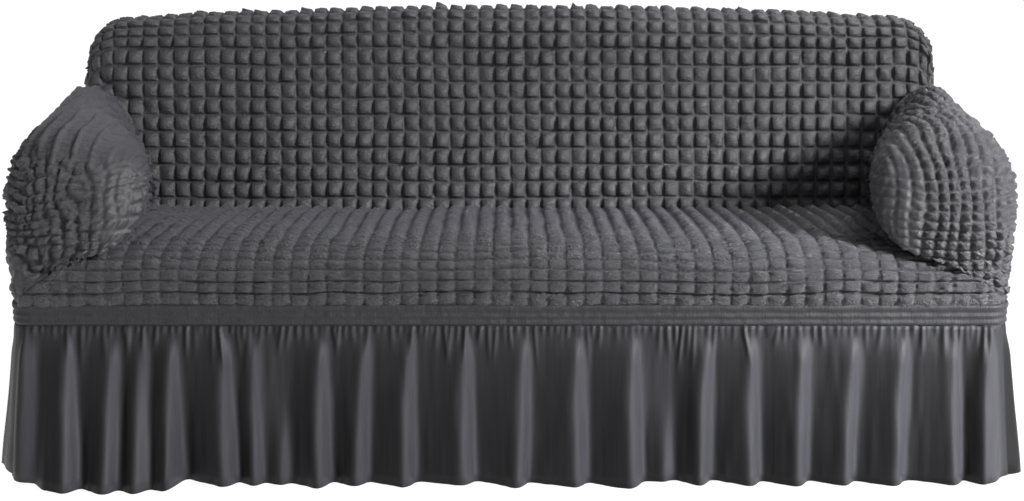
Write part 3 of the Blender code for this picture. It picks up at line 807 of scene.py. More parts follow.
# How far a seam's edge is tucked out of sight, and where puffs are counted from, to stay positive.
SEAM_TUCK = 0.014
COUNT_ORIGIN = 40.0
ROW_COUNT_ORIGIN = 1000.0

# The seat's rows: distance between threads on the seat and in front, and the stretch where it changes.
SEAT_ROW_PITCHES = (0.038, 0.025)
SEAT_PITCH_CHANGE = (0.60, 0.12)

# How far its rows stray, in rows, over what length along them and over how many rows.
SEAT_ROW_STRAY = (0.13, 0.085, 1.6)

# Its columns are even this far from the middle, and this many lines take up the rest of each row.
SEAT_EVEN_WIDTH = 0.852
SEAT_OUTER_LINES = 36

# How far it runs on under the sleeves, and past them at the front corners, and over which stretches.
SEAT_SIDE_TUCK = 0.016
SEAT_TUCKED = (0.90, -0.08)
SEAT_CORNER_REACH = 0.008
SEAT_CORNER = (0.90, 0.04)

# Towards the front edge, from this depth on, the puffs' rows deepen and they are crinkled with slits.
SEAT_CRINKLED = (0.40, -0.28)
SLIT_DEPTH = 0.0062
SLIT_MIDDLE = 0.4
SLIT_SIZE = (0.026, 0.0075)
SLIT_SWAY_SIZE = 0.06
FINE_SLIT_SIZE = (0.014, 0.0060)
FINE_SLIT_SHARE = 0.6

# How deep the seat's threads draw it in, how full and how steep its puffs are, how strongly it is slit
# and crinkled: on its flat, with what the crinkled stretch and the front face add.
SEAT_ROW_DEPTH = (0.16, 0.54, 0.30)
SEAT_COLUMN_DEPTH = (1.0, -0.30, -0.22)
SEAT_FULLNESS = (1.20, -0.28, 0.14)
SEAT_FLANK = (0.30, -0.14)
SEAT_FALL = 0.35
SEAT_SLIT_SHARE = (0.25, 0.75)
SEAT_CRUMPLE = (0.9, 1.3)

# The share of a puff's height that lies on its panel's own surface.
SEAT_MIDDLE = 0.375
BACK_MIDDLE = 0.62
REAR_MIDDLE = 0.4
ARM_MIDDLE = 0.6

# The seat's edges: where the relief fades, the seam's tuck, the hem behind the band, the sunk sides.
SEAT_EDGE_FADES = (0.02, 0.015)
SEAT_SEAM = (0.012, -0.012)
SEAT_HEM = (0.985, 0.015)
SEAT_HEM_BACK = 0.004
SEAT_HEM_DROP = 0.020
SEAT_SIDE = (-0.002, 0.010)
SEAT_SIDE_FLATNESS = 0.8
SEAT_SIDE_DROP = 0.008
SEAT_SIDE_BACK = 0.006

# The back's rows and puffs, which run out gently to the thread above, and the stretches where they fade.
BACK_ROW_PITCH = 0.0398
BACK_FLANK_SHARE = 0.13
BACK_LEAN = 0.60
BACK_FALL = 0.9
BACK_FULLNESS = 1.80
BACK_UNEVEN = (1.0, 0.14)
BACK_END_FADE = 0.5
BACK_SEAM_FADE = 0.4
BACK_SINK = 0.002
REAR_FULLNESS = 0.9
REAR_HEM = 0.002
REAR_EDGE_FADES = (0.3, 0.3)

# Soft troughs on the back where the cloth is pulled over the arms: points (x, depth, height), how deep
# and how wide each is, and the stretch outwards where they start.
BACK_CREASES = (
    (((-1.060, 0.74, 0.80), (-0.985, 0.67, 0.75), (-0.928, 0.66, 0.71), (-0.860, 0.66, 0.69),
      (-0.790, 0.66, 0.685)), 0.010, 0.012),
    (((1.050, 0.73, 0.80), (0.975, 0.68, 0.755), (0.930, 0.66, 0.735)), 0.008, 0.011),
)
BACK_CREASES_START = (0.80, 0.10)


def seat_rows():
    """The seat's grid lines along its profile, as shares of it, and their places counted in puffs."""
    fine = np.linspace(0.0, 1.0, 2000)
    run = run_length(seat_profile(fine))
    narrower = SEAT_ROW_PITCHES[1] - SEAT_ROW_PITCHES[0]
    pitch = SEAT_ROW_PITCHES[0] + narrower * eased(fine, SEAT_PITCH_CHANGE)
    counted = np.concatenate(([0.0], np.cumsum(np.diff(run) / pitch[1:])))
    counted = counted - counted[-1]
    lines = cell_lines(counted[0], 0.0, SEAT_ROW_SHARES)
    return np.interp(lines, counted, fine), lines


def seat_grid(pitch, along):
    """The seat panel's points without puffs: rows over its profile, columns even as far as the arms."""
    even = cell_lines(0.0, SEAT_EVEN_WIDTH / pitch, FINE_SHARES)
    reach = np.concatenate((even * pitch, np.full(SEAT_OUTER_LINES, SEAT_EVEN_WIDTH)))
    outer = np.concatenate((np.zeros(len(even)), np.arange(1, SEAT_OUTER_LINES + 1) / SEAT_OUTER_LINES))
    reach = np.concatenate((-reach[:0:-1], reach))
    outer = np.concatenate((outer[:0:-1], outer))
    half = seat_half_width(along) + SEAT_SIDE_TUCK * eased(along, SEAT_TUCKED)
    half = (half + SEAT_CORNER_REACH * eased(along, SEAT_CORNER))[:, None]
    x = reach[None, :] + np.sign(reach)[None, :] * (half - SEAT_EVEN_WIDTH) * outer[None, :]
    profile = seat_profile(along)
    y = profile[:, :1] + corner_set_back(x) * on_front(along)[:, None]
    return np.dstack((x, y, np.broadcast_to(profile[:, 1:], x.shape)))


def seat_slits(x, down):
    """Fine creases along the seat's rows, 0 in a crease, at places along it and down its profile."""
    sway = 0.5 * smooth_noise(x / SLIT_SWAY_SIZE, down / SLIT_SWAY_SIZE, 26)
    slits = np.abs(smooth_noise(x / SLIT_SIZE[0] + 30.0, down / SLIT_SIZE[1] + sway, 27))
    fine = np.abs(smooth_noise(x / FINE_SLIT_SIZE[0] + 9.0, down / FINE_SLIT_SIZE[1] - sway, 28))
    return slits + FINE_SLIT_SHARE * fine


def seat_sheet(settings):
    """The seat panel, from its back seam over the front edge to the band."""
    pitch = settings.puff_pitch
    along, rows = seat_rows()
    share, rows = along[:, None], rows[:, None]
    base = seat_grid(pitch, along)
    x, y = base[..., 0], base[..., 1]
    front = on_front(share)
    crinkled = eased(y, SEAT_CRINKLED)
    a = x / pitch + COUNT_ORIGIN
    stray, stray_length, stray_rows = SEAT_ROW_STRAY
    b = rows + stray * smooth_noise(x / stray_length + 30.0, rows / stray_rows + 50.0, 22)
    depths = (mixed(SEAT_COLUMN_DEPTH, crinkled, front), mixed(SEAT_ROW_DEPTH, crinkled, front))
    relief = puff_relief(a, b + COUNT_ORIGIN, 21, depths, SEAT_FALL, mixed(SEAT_FLANK, front))
    slits = seat_slits(x, run_length(seat_profile(along))[:, None]) - SLIT_MIDDLE
    slitted = mixed(SEAT_SLIT_SHARE, crinkled) * ease(relief / 0.35)
    height = settings.puff_height * mixed(SEAT_FULLNESS, front, smooth_noise(a / 3.0, b / 3.0, 23))
    lift = height * (relief - SEAT_MIDDLE) + panel_swell("seat", x, y) + SLIT_DEPTH * slits * slitted
    side = eased(np.abs(x) - seat_half_width(along)[:, None], SEAT_SIDE)
    lift = lift * between(share, 0.0, 1.0, SEAT_EDGE_FADES) * (1.0 - SEAT_SIDE_FLATNESS * side)
    points = panel_drift("seat", base) - surface_normals(base) * lift[..., None]
    tuck = SEAM_TUCK * eased(share, SEAT_SEAM)
    hem = eased(share, SEAT_HEM)
    points[..., 1] += tuck + SEAT_HEM_BACK * hem + SEAT_SIDE_BACK * side * front
    points[..., 2] -= tuck + SEAT_HEM_DROP * hem + SEAT_SIDE_DROP * side * (1.0 - front)
    fabric = np.dstack((x, b * SEAT_ROW_PITCHES[0]))
    return cloth_sheet("seat_cloth", points, fabric, relief, slot_cloth(settings, "puffed_cloth"), 0.0,
                       crumple=mixed(SEAT_CRUMPLE, crinkled), turned=True)


def back_lines(pitch, shares):
    """Grid lines round the back, counted in puffs, their places and shares, and a fade at its ends."""
    run, place, share_at = end_line()
    half = run[-1] / pitch
    lines = cell_lines(-half, half, shares)
    reach = np.abs(lines) * pitch
    reference = np.sign(lines) * np.interp(reach, run, place)
    inside = ease((half - np.abs(lines)) / BACK_END_FADE)
    return (item[None, :] for item in (lines, reference, np.interp(reach, run, share_at), inside))


def back_sheet(settings):
    """The inside back, from the seat and the arms' arches up and over the top to the rear seam."""
    pitch = settings.puff_pitch
    lines, reference, share, inside = back_lines(pitch, FINE_SHARES)
    middle_foot = BACK_FOOT_HEIGHT - SEAM_TUCK
    angles = np.linspace(0.0, BACK_SEAM_TURN, 400)
    over_top = run_length(np.column_stack(back_crown(0.0, 1.0, angles)))
    leg = BACK_SHOULDER - middle_foot
    total = (leg + over_top[-1]) / BACK_ROW_PITCH
    rows = cell_lines(0.0, total, ROW_SHARES)[:, None]
    up = rows * BACK_ROW_PITCH
    leg_height = middle_foot + (back_shoulder(share) - middle_foot) * np.clip(up / leg, 0.0, 1.0)
    leg_y = BACK_END_Y + (back_front_y(leg_height) - BACK_END_Y) * share
    crown_y, crown_height = back_crown(reference, share, np.interp(up - leg, over_top, angles))
    height = np.where(up <= leg, leg_height, crown_height)
    x = tapered(reference, height)
    base = np.dstack((x, np.where(up <= leg, leg_y, crown_y), height))
    hidden = height < back_foot_height(reference) - SEAM_TUCK
    a, level = np.broadcast_arrays(lines, rows)
    relief = puff_relief(a + COUNT_ORIGIN, level + ROW_COUNT_ORIGIN, 41, fall=BACK_FALL,
                         flank_share=BACK_FLANK_SHARE, lean=BACK_LEAN)
    fullness = BACK_FULLNESS * settings.puff_height
    fullness = fullness * mixed(BACK_UNEVEN, smooth_noise(a / 4.0, level / 3.0, 43))
    lift = fullness * (relief - BACK_MIDDLE) + panel_swell("back", x, height) - BACK_SINK
    lift = lift * inside * ease((total - rows) / BACK_SEAM_FADE)
    points = panel_drift("back", base)
    out_there = eased(np.abs(points[..., 0]), BACK_CREASES_START)
    for path, depth, width in BACK_CREASES:
        lift = lift - depth * out_there * trough(points, path, width)
    points = points + surface_normals(base) * lift[..., None]
    fabric = np.dstack((a * pitch, level * BACK_ROW_PITCH))
    return cloth_sheet("back_cloth", points, fabric, relief, slot_cloth(settings, "puffed_cloth"), 0.0,
                       cut=hidden)


def rear_sheet(settings):
    """The outside back, from the band up to the seam that the inside back ends in."""
    pitch = settings.puff_pitch
    lines, reference, share, inside = back_lines(pitch, PLAIN_SHARES)
    _, seam = back_crown(reference, share, BACK_SEAM_TURN)
    low = BAND_TOP - REAR_HEM
    rows = cell_lines(0.0, (seam.max() - low) / BACK_ROW_PITCH, PLAIN_SHARES)[:, None]
    rise = rows / rows[-1]
    height = low + (seam - low) * rise
    bulge = REAR_BULGE * np.sin(rise * math.pi / 2)
    y = BACK_END_Y + EDGE_GAP + (BASE_DEPTH + bulge - BACK_END_Y - EDGE_GAP) * share
    x = tapered(reference, height)
    base = np.dstack((x, y, height))
    a = np.broadcast_to(lines, x.shape)
    level = (height - low) / BACK_ROW_PITCH
    full = inside * between(rows, 0.0, rows[-1], REAR_EDGE_FADES)
    relief = puff_relief(a + COUNT_ORIGIN, level + ROW_COUNT_ORIGIN, 53)
    lift = REAR_FULLNESS * settings.puff_height * (relief - REAR_MIDDLE) + panel_swell("rear", x, height)
    moved = panel_drift("rear", base) - base - surface_normals(base) * lift[..., None]
    fabric = np.dstack((a * pitch, level * BACK_ROW_PITCH))
    return cloth_sheet("rear_cloth", base + moved * full[..., None], fabric, relief,
                       slot_cloth(settings, "puffed_cloth"), 0.0, turned=True)


# ---------------------------------------------------------------------------------------------------
# Arm sleeves
# ---------------------------------------------------------------------------------------------------

# The sleeve's lines from its foot outside to its foot inside, and along it. A little over a fifth of the
# lines across it cover the outer third.
ARM_GRID = (196, 320)
ARM_LINE_SHARES = (0.0, 0.22, 1.0)
ARM_LINE_PLACES = (0.0, 0.34, 1.0)

# Its puffs: their pitch along each axis, and a corner that they are counted from, where a thread lies.
ARM_PITCHES = (0.0255, 0.029, 0.0205)
ARM_CORNER = (0.985, 0.020, 0.652)
ARM_FLANK_SHARE = 0.20
ARM_FALL = 0.5
ARM_TOP_ROW_DEPTH = 0.6
ARM_WANDER_SIZE = 0.05

# Each way that the sleeve's cloth faces, up, forwards and outwards: its own axis and the axes that its
# columns and rows are counted along. The higher the power, the sharper one gives way to the next.
ARM_FACINGS = ((2, 0, 1), (1, 0, 2), (0, 1, 2))
ARM_FACING_POWER = 5

# The long ridges of a wrapped sleeve: their place and pitch, height and what sway adds, width, and the
# stretch across the sleeve where they start, above a line that rises outwards.
ARM_RIDGE_START = 0.815
ARM_RIDGE_PITCH = 0.037
ARM_RIDGE_WANDER = 0.16
ARM_RIDGE_FLOOR = 0.22
ARM_RIDGE_HEIGHT = (0.66, 0.36)
ARM_RIDGE_WIDTH = 0.10
ARM_RIDGES_ACROSS = (0.36, 0.08)
RIDGE_LINE = {"x": 0.80, "height": 0.625, "slope": 0.16, "fade": 0.05}

# How much of the relief is left inside, what a wrapped sleeve has more, where the outside starts, and
# what the flat of the top and the cloth under the sleeve lose of it.
ARM_INNER_STRENGTH = (0.30, 0.08)
ARM_OUTSIDE = (0.800, 0.060)
ARM_FLAT_TOP = (0.55, 0.3)
ARM_TOP_REAR = (0.10, 0.10)
ARM_TOP_LOSS = 0.25
ARM_UNDER_LOSS = 0.75
ARM_UNDER = (0.0, 0.012)
ARM_UNDER_FRONT = (0.10, -0.05)

# Fine gathers inside, and how rumpled a sleeve is, with what a wrapped one has more below its ridges.
ARM_GATHER_DEPTH = 0.0014
ARM_RUMPLES = (0.25, 0.55)
ARM_CRUMPLE = (0.5, 1.3)

# Where drift and relief fade towards the sleeve's edges: across it and along it.
ARM_HELD_FADES = ((0.04, 0.04), (0.03, 0.03))
ARM_LIFT_FADES = ((0.03, 0.045), (0.01, 0.03))

# Its edge behind the band: over what stretches, how far it hangs down and how far it is pressed in.
ARM_HEM_ACROSS = (0.02, -0.02)
ARM_HEM_ALONG = (0.988, 0.012)
ARM_HEM_DROP = 0.010
ARM_HEM_PRESS = 0.003

# Its inner foot, pressed on to the seat and sunk into the gap beside it, less so near the front corner.
ARM_FOOT = (0.97, 0.03)
ARM_FOOT_PRESS = 0.006
ARM_PRESSED = (0.88, -0.06)
ARM_SUNK = (0.965, 0.035)
ARM_SINK_LESS = 0.0035
ARM_SINK_CHANGE = (0.86, 0.06)
ARM_FRONT = (0.06, -0.05)

# Its rear edge, tucked against the back, and drawn in a little outside.
ARM_REAR = (0.02, -0.02)
ARM_REAR_INSIDE = (0.35, 0.1)
ARM_REAR_DRAW = 0.004

# The trough where the seat's front cloth passes under the sleeve at the front corner.
ARM_CORNER_CREASE = ((0.955, -0.010, 0.438), (0.985, -0.004, 0.447), (1.010, 0.010, 0.478),
                     (1.036, 0.050, 0.515))
ARM_CREASE_DEPTH = 0.009
ARM_CREASE_WIDTH = 0.008


def corner_crease_height(x):
    """Height of the trough under the sleeve at distances from the sofa's middle."""
    path = np.array(ARM_CORNER_CREASE)
    return np.interp(x, path[:, 0], path[:, 2], left=0.0)


def above_ridge_line(x, height):
    """1 above the line where a wrapped sleeve's long ridges start."""
    line = RIDGE_LINE["height"] + RIDGE_LINE["slope"] * (x - RIDGE_LINE["x"])
    return ease((height - line) / RIDGE_LINE["fade"])


def arm_relief(points, normals, across, seed, uneven, row_depth, wrapped):
    """The sleeve's puffs: crowded in front and outside, long ridges over a wrapped one's inner edge."""
    x, y, height = (points[..., axis] for axis in range(3))
    share = np.abs(normals) ** ARM_FACING_POWER
    share = share / np.maximum(share.sum(axis=2, keepdims=True), 1e-9)
    counted = []
    for axis in range(3):
        level = height / ARM_WANDER_SIZE + 9.0 * axis
        wander = smooth_noise(x / ARM_WANDER_SIZE + y / ARM_WANDER_SIZE, level, seed + 10 + axis)
        place = (points[..., axis] - ARM_CORNER[axis]) / ARM_PITCHES[axis]
        counted.append(place + COUNT_ORIGIN + uneven * wander)
    crowded = 0.0
    depths = (ARM_TOP_ROW_DEPTH, row_depth, 1.0)
    for order, (facing, columns, rows) in enumerate(ARM_FACINGS):
        puffs = puff_relief(counted[columns], counted[rows], seed + order, (1.0, depths[order]),
                            ARM_FALL, ARM_FLANK_SHARE)
        crowded = crowded + share[..., facing] * puffs
    if not wrapped:
        return crowded
    wander = smooth_noise(x / 0.08, height / 0.08 + y / 0.1, seed + 4)
    ridge_place = (x - ARM_RIDGE_START) / ARM_RIDGE_PITCH + ARM_RIDGE_WANDER * wander
    from_ridge = np.abs(ridge_place - np.rint(ridge_place))
    sway = 0.5 + 0.5 * smooth_noise(ridge_place * 0.9, y / 0.09, seed + 5)
    ridges = mixed(ARM_RIDGE_HEIGHT, sway) * np.exp(-(from_ridge / ARM_RIDGE_WIDTH) ** 2)
    ridges = ARM_RIDGE_FLOOR + ridges
    stretched = above_ridge_line(x, height) * eased(across, ARM_RIDGES_ACROSS)
    return crowded + (ridges - crowded) * stretched


def arm_strength(points, normals, outside, wrapped):
    """How much of its relief the sleeve keeps: all of it outside, little where it is drawn smooth."""
    x, y, height = (points[..., axis] for axis in range(3))
    inner = mixed(ARM_INNER_STRENGTH, wrapped)
    over_top = eased(normals[..., 2], ARM_FLAT_TOP) * eased(y, ARM_TOP_REAR)
    under_sleeve = eased(corner_crease_height(x) - height, ARM_UNDER) * eased(y, ARM_UNDER_FRONT)
    strength = (inner + (1.0 - inner) * outside) * (1.0 - ARM_TOP_LOSS * over_top)
    return strength * (1.0 - ARM_UNDER_LOSS * under_sleeve * wrapped)


def arm_rumples(points, seed):
    """Small creases in every direction, 0 in a crease, large ones with finer ones on them."""
    x, y, height = (points[..., axis] for axis in range(3))
    large = np.abs(smooth_noise(x / 0.021 + height / 0.030, y / 0.024 + height / 0.024, seed + 6))
    return large + 0.5 * np.abs(smooth_noise(x / 0.012 + y / 0.013, height / 0.011, seed + 7))


def arm_sheet(settings, name, side, seed, uneven, row_depth, wrapped):
    """One arm sleeve, on the side that side's sign says.

    uneven is how far the puffs wander, row_depth how deep their rows are, and wrapped is 1 where the cloth
    is drawn into long ridges over the inner edge and the seat's cloth goes round the corner under it.
    """
    across = np.interp(np.linspace(0.0, 1.0, ARM_GRID[0]), ARM_LINE_SHARES, ARM_LINE_PLACES)[None, :]
    along = np.linspace(0.0, 1.0, ARM_GRID[1])[:, None]
    base = arm_points(across[0], along[:, 0])
    normals = surface_normals(base)
    held = between(across, 0.0, 1.0, ARM_HELD_FADES[0]) * between(along, 0.0, 1.0, ARM_HELD_FADES[1])
    points = base + (drift(base, *ARM_DRIFT, seed + 3) - base) * held[..., None]
    relief = arm_relief(points, normals, across, seed, uneven, row_depth, wrapped)
    x, y, height = (points[..., axis] for axis in range(3))
    outside = eased(x, ARM_OUTSIDE)
    gathers = smooth_noise(x / 0.008, height / 0.12 + y / 0.12, seed + 5)
    rumpled = mixed(ARM_RUMPLES, wrapped * (1.0 - above_ridge_line(x, height)))
    lift = settings.arm_puff_height * (relief - ARM_MIDDLE - rumpled * arm_rumples(points, seed))
    lift = lift * arm_strength(points, normals, outside, wrapped)
    lift = lift + ARM_GATHER_DEPTH * (1.0 - outside) * gathers
    ends = between(along, 0.0, 1.0, ARM_LIFT_FADES[1])
    pressed = ARM_FOOT_PRESS * eased(along, ARM_PRESSED) * eased(across, ARM_FOOT)
    lift = (lift * between(across, 0.0, 1.0, ARM_LIFT_FADES[0]) - pressed) * ends
    hem = np.maximum(eased(across, ARM_HEM_ACROSS), eased(along, ARM_HEM_ALONG))
    crease = ARM_CREASE_DEPTH * wrapped * trough(base, ARM_CORNER_CREASE, ARM_CREASE_WIDTH)
    points = points + normals * (lift - crease - ARM_HEM_PRESS * hem)[..., None]
    sunk = (ARM_FOOT_SINK - ARM_SINK_LESS * eased(along, ARM_SINK_CHANGE)) * eased(across, ARM_SUNK)
    in_front = eased(base[..., 1], ARM_FRONT)
    tuck = eased(along, ARM_REAR)
    points[..., 0] -= ARM_REAR_DRAW * tuck * (1.0 - eased(across, ARM_REAR_INSIDE))
    points[..., 1] += sunk * in_front + ARM_REAR_GAP * tuck
    points[..., 2] -= sunk * (1.0 - in_front) + ARM_HEM_DROP * hem
    points[..., 0] *= side
    fabric = np.dstack((x + height, y + height))
    return cloth_sheet(name, points, fabric, relief, slot_cloth(settings, "puffed_cloth"), 0.0,
                       crumple=mixed(ARM_CRUMPLE, outside), turned=side < 0)


# ---------------------------------------------------------------------------------------------------
# Band and skirt
# ---------------------------------------------------------------------------------------------------

# The band's rows of points, its two inner threads as shares of its height, the turns at its edges, how far
# it stands off, how far the cloth puckers between threads, and how deep and long its gathers are.
BAND_ROWS = 13
BAND_STITCH_LINES = (0.30, 0.62)
BAND_TURN = 0.003
BAND_STAND_OFF = 0.001
BAND_PUCKER = 0.0032
BAND_PUCKER_FADE = 0.11
BAND_GATHER_FADE = 0.05
BAND_GATHERS = ((0.0011, 0.011, 6.0), (0.0012, 0.045, 2.0))

# The skirt's folds: how much fuller and wider they are than their rows say, and the width that they
# start with, the drop over which they widen, and how far the crest stands back from the place.
FOLD_FULLNESS = 0.95
FOLD_WIDTH = 1.6
FOLD_TOP_WIDTH = 0.42
FOLD_WIDENS = 0.17
FOLD_CREST_SET = 0.85

# Folds that fade above this height already have a share of their depth soon under the band.
FOLD_TALL = (0.25, 0.05)
FOLD_EARLY = 0.42
FOLD_EARLY_DROP = 0.075

# The least length of a fold's rise, the flat before the first one, how far a ridge leans along the
# line, and how many neighbouring points its edges are softened over.
FOLD_LEAST_RISE = 0.022
FOLD_FIRST_FLAT = 0.02
FOLD_SIDEWAYS = 0.4
FOLD_SOFTNESS = 13

# The stretch along the front where the hem flares more: its ends, their fades and how far it flares.
FRONT_SPREAD = {"start": -1.00, "end": -0.66, "fades": (0.05, 0.07), "flare": 0.040}

# Over what lengths the folds and their lean fade at a length's ends, how uneven and how creased the cloth
# is, how far and over what length its hem rises and falls, how far its top goes up behind the band, and
# how far the sides lap over the front and the rear, with the share of that by which they stand behind.
SKIRT_END_FADES = (0.03, 0.03)
SKIRT_LEAN_FADES = (0.04, 0.04)
SKIRT_UNEVEN = (0.003, 0.035, 2.5)
SKIRT_CREASED = (0.0012, 0.012, 4.0)
SKIRT_HEM_WAVE = (0.006, 0.11)
SKIRT_TURN_UP = 0.002
SKIRT_SIDE_LAP = 0.004
SKIRT_LAP_SET_BACK = 0.4


def base_line():
    """The band's line from above, anticlockwise from the middle of the front, and its outward normals."""
    points = []
    turns = []
    straight = BASE_HALF_WIDTH - FRONT_CORNER
    rear_straight = BACK_HALF_WIDTH - BACK_END_ROUND
    rear_depth = BASE_DEPTH - BACK_END_Y

    def steps(first, last, length):
        return np.linspace(first, last, int(length / LINE_STEP) + 2)

    for place in steps(0.0, straight, straight)[:-1]:
        points.append((place, 0.0))
        turns.append(-90.0)
    for angle in steps(-90.0, 0.0, FRONT_CORNER * math.pi / 2)[:-1]:
        turn = math.radians(angle)
        reach = straight + FRONT_CORNER * math.cos(turn)
        points.append((reach, FRONT_CORNER + FRONT_CORNER * math.sin(turn)))
        turns.append(angle)
    for place in steps(FRONT_CORNER, BACK_END_Y, BACK_END_Y - FRONT_CORNER)[:-1]:
        points.append((BASE_HALF_WIDTH, place))
        turns.append(0.0)
    for angle in steps(0.0, 90.0, BACK_END_ROUND * math.pi / 2)[:-1]:
        turn = math.radians(angle)
        reach = rear_straight + BACK_END_ROUND * math.cos(turn) ** (2.0 / BACK_END_POWER)
        backward = rear_depth * math.sin(turn) ** (2.0 / BACK_END_POWER)
        points.append((float(tapered(reach, BAND_TOP)), BACK_END_Y + backward))
        turns.append(angle)
    for place in steps(rear_straight, 0.0, rear_straight):
        points.append((place, BASE_DEPTH))
        turns.append(90.0)
    half = np.array(points)
    turn = np.radians(turns)
    normals = np.column_stack((np.cos(turn), np.sin(turn)))
    flip = np.array((-1.0, 1.0))
    line = np.concatenate((half, half[-2:0:-1] * flip))
    outward = np.concatenate((normals, normals[-2:0:-1] * flip))
    return line, outward


def line_run():
    """Distance along the closed base line at each of its points, the last one its whole length."""
    line, _ = base_line()
    return run_length(np.concatenate((line, line[:1])))


def along_line(places):
    """Points and outward normals at distances along the closed base line."""
    run = line_run()
    foot, normal = (
        np.column_stack([np.interp(places, run[:-1], values, period=run[-1]) for values in rows.T])
        for rows in base_line())
    return foot, normal / np.linalg.norm(normal, axis=1)[:, None]


def band_sheet(settings):
    """The shirred band: puckers between its elastic threads, drawn up in fine gathers."""
    total = line_run()[-1]
    places = np.linspace(0.0, total, int(total / LINE_STEP), endpoint=False)
    foot, normal = along_line(places)
    shares = np.linspace(0.0, 1.0, BAND_ROWS)
    rows = []
    relief = []
    for share in shares:
        height = BAND_BOTTOM - BAND_TURN + (BAND_TOP - BAND_BOTTOM + 2.0 * BAND_TURN) * share
        from_stitch = min(abs(share - line_at) for line_at in (0.0, *BAND_STITCH_LINES, 1.0))
        puckered = ease(from_stitch / BAND_PUCKER_FADE)
        gather = ripple(places, share, BAND_GATHERS[0], 61) + ripple(places, share, BAND_GATHERS[1], 63)
        gather = gather * ease(from_stitch / BAND_GATHER_FADE)
        place = foot + normal * (BAND_STAND_OFF + BAND_PUCKER * puckered + gather)[:, None]
        rows.append(np.column_stack((place, np.full(len(places), height))))
        relief.append(np.full(len(places), puckered))
    fabric = np.dstack(np.meshgrid(places, shares * (BAND_TOP - BAND_BOTTOM)))
    return cloth_sheet("band_cloth", np.array(rows), fabric, np.array(relief),
                       slot_cloth(settings, "elastic_band"), settings.cloth_thickness, closed=True)


def fold_ridge(from_crest, reach, width):
    """A fold's section: a long rise on its low side, a rounded crest, then a short fall."""
    rise = np.clip(1.0 + from_crest / reach, 0.0, 1.0) ** 1.25
    fall = np.clip(1.0 - np.clip(from_crest / width, 0.0, 1.0) ** 1.9, 0.0, 1.0)
    return np.where(from_crest < 0.0, rise, fall)


def skirt_offsets(places, height, folds, gathers):
    """How far the skirt stands out from the base line at one height, and how far it leans along it."""
    drop = 1.0 - height / SKIRT_TOP
    below = SKIRT_TOP - height
    ridges = np.zeros(len(places))
    sideways = np.zeros(len(places))
    before = places[0] - FOLD_FIRST_FLAT
    for fold in folds:
        row = dict(zip(FOLD_COLUMNS, fold))
        late = ease((row["fades_at"] - height) / row["fades_at"])
        early = FOLD_EARLY * eased(row["fades_at"], FOLD_TALL) * ease(below / FOLD_EARLY_DROP)
        growth = early + (1.0 - early) * late
        widened = FOLD_TOP_WIDTH + (1.0 - FOLD_TOP_WIDTH) * ease(below / FOLD_WIDENS)
        width = FOLD_WIDTH * row["half_width"] * widened
        crest = row["place"] + row["drift"] * drop - FOLD_CREST_SET * width
        reach = max(crest - before, FOLD_LEAST_RISE)
        ridge = FOLD_FULLNESS * row["depth"] * growth * fold_ridge(places - crest, reach, width)
        ridges = np.maximum(ridges, ridge)
        sideways = sideways + FOLD_SIDEWAYS * row["lean"] * ridge * (places > crest - 0.5 * reach)
        before = crest + width
    soften = np.hanning(FOLD_SOFTNESS + 2)[1:-1]
    ridges = np.pad(ridges, FOLD_SOFTNESS // 2, mode="edge")
    out = SKIRT_FLARE * drop + np.convolve(ridges, soften / soften.sum(), mode="valid")
    for place, width, depth, length, pull in gathers:
        grown = ease(below / 0.010) * ease((length - below) / length)
        out = out + depth * grown * np.exp(-((places - place - pull * below) / width) ** 2)
    return out, sideways


def top_gathers(start, end, random):
    """Fine gathers at the skirt's top: place, width, depth, length and how they slant."""
    gathers = []
    place = start + 0.008
    while place < end - 0.006:
        length = 0.022 + 0.10 * random.random() ** 2.2
        depth = 0.0024 + 0.0036 * random.random()
        width = 0.0038 + 0.0022 * random.random()
        gathers.append((place, width, depth, length, 0.35 * (random.random() - 0.5)))
        place += 0.0105 + 0.008 * random.random()
    return gathers


def even_folds(count, start, end, random):
    """Folds for a side that isn't placed by hand: near even, with uneven width, depth and start."""
    pitch = (end - start) / count
    folds = []
    for index in range(count):
        place = start + pitch * (index + 0.5 + 0.25 * (random.random() - 0.5))
        half_width = 0.018 + 0.006 * random.random()
        depth = 0.024 + 0.012 * random.random()
        fades_at = 0.30 + 0.03 * random.random()
        folds.append((place, 0.0, half_width, depth, fades_at, 0.3))
    return folds


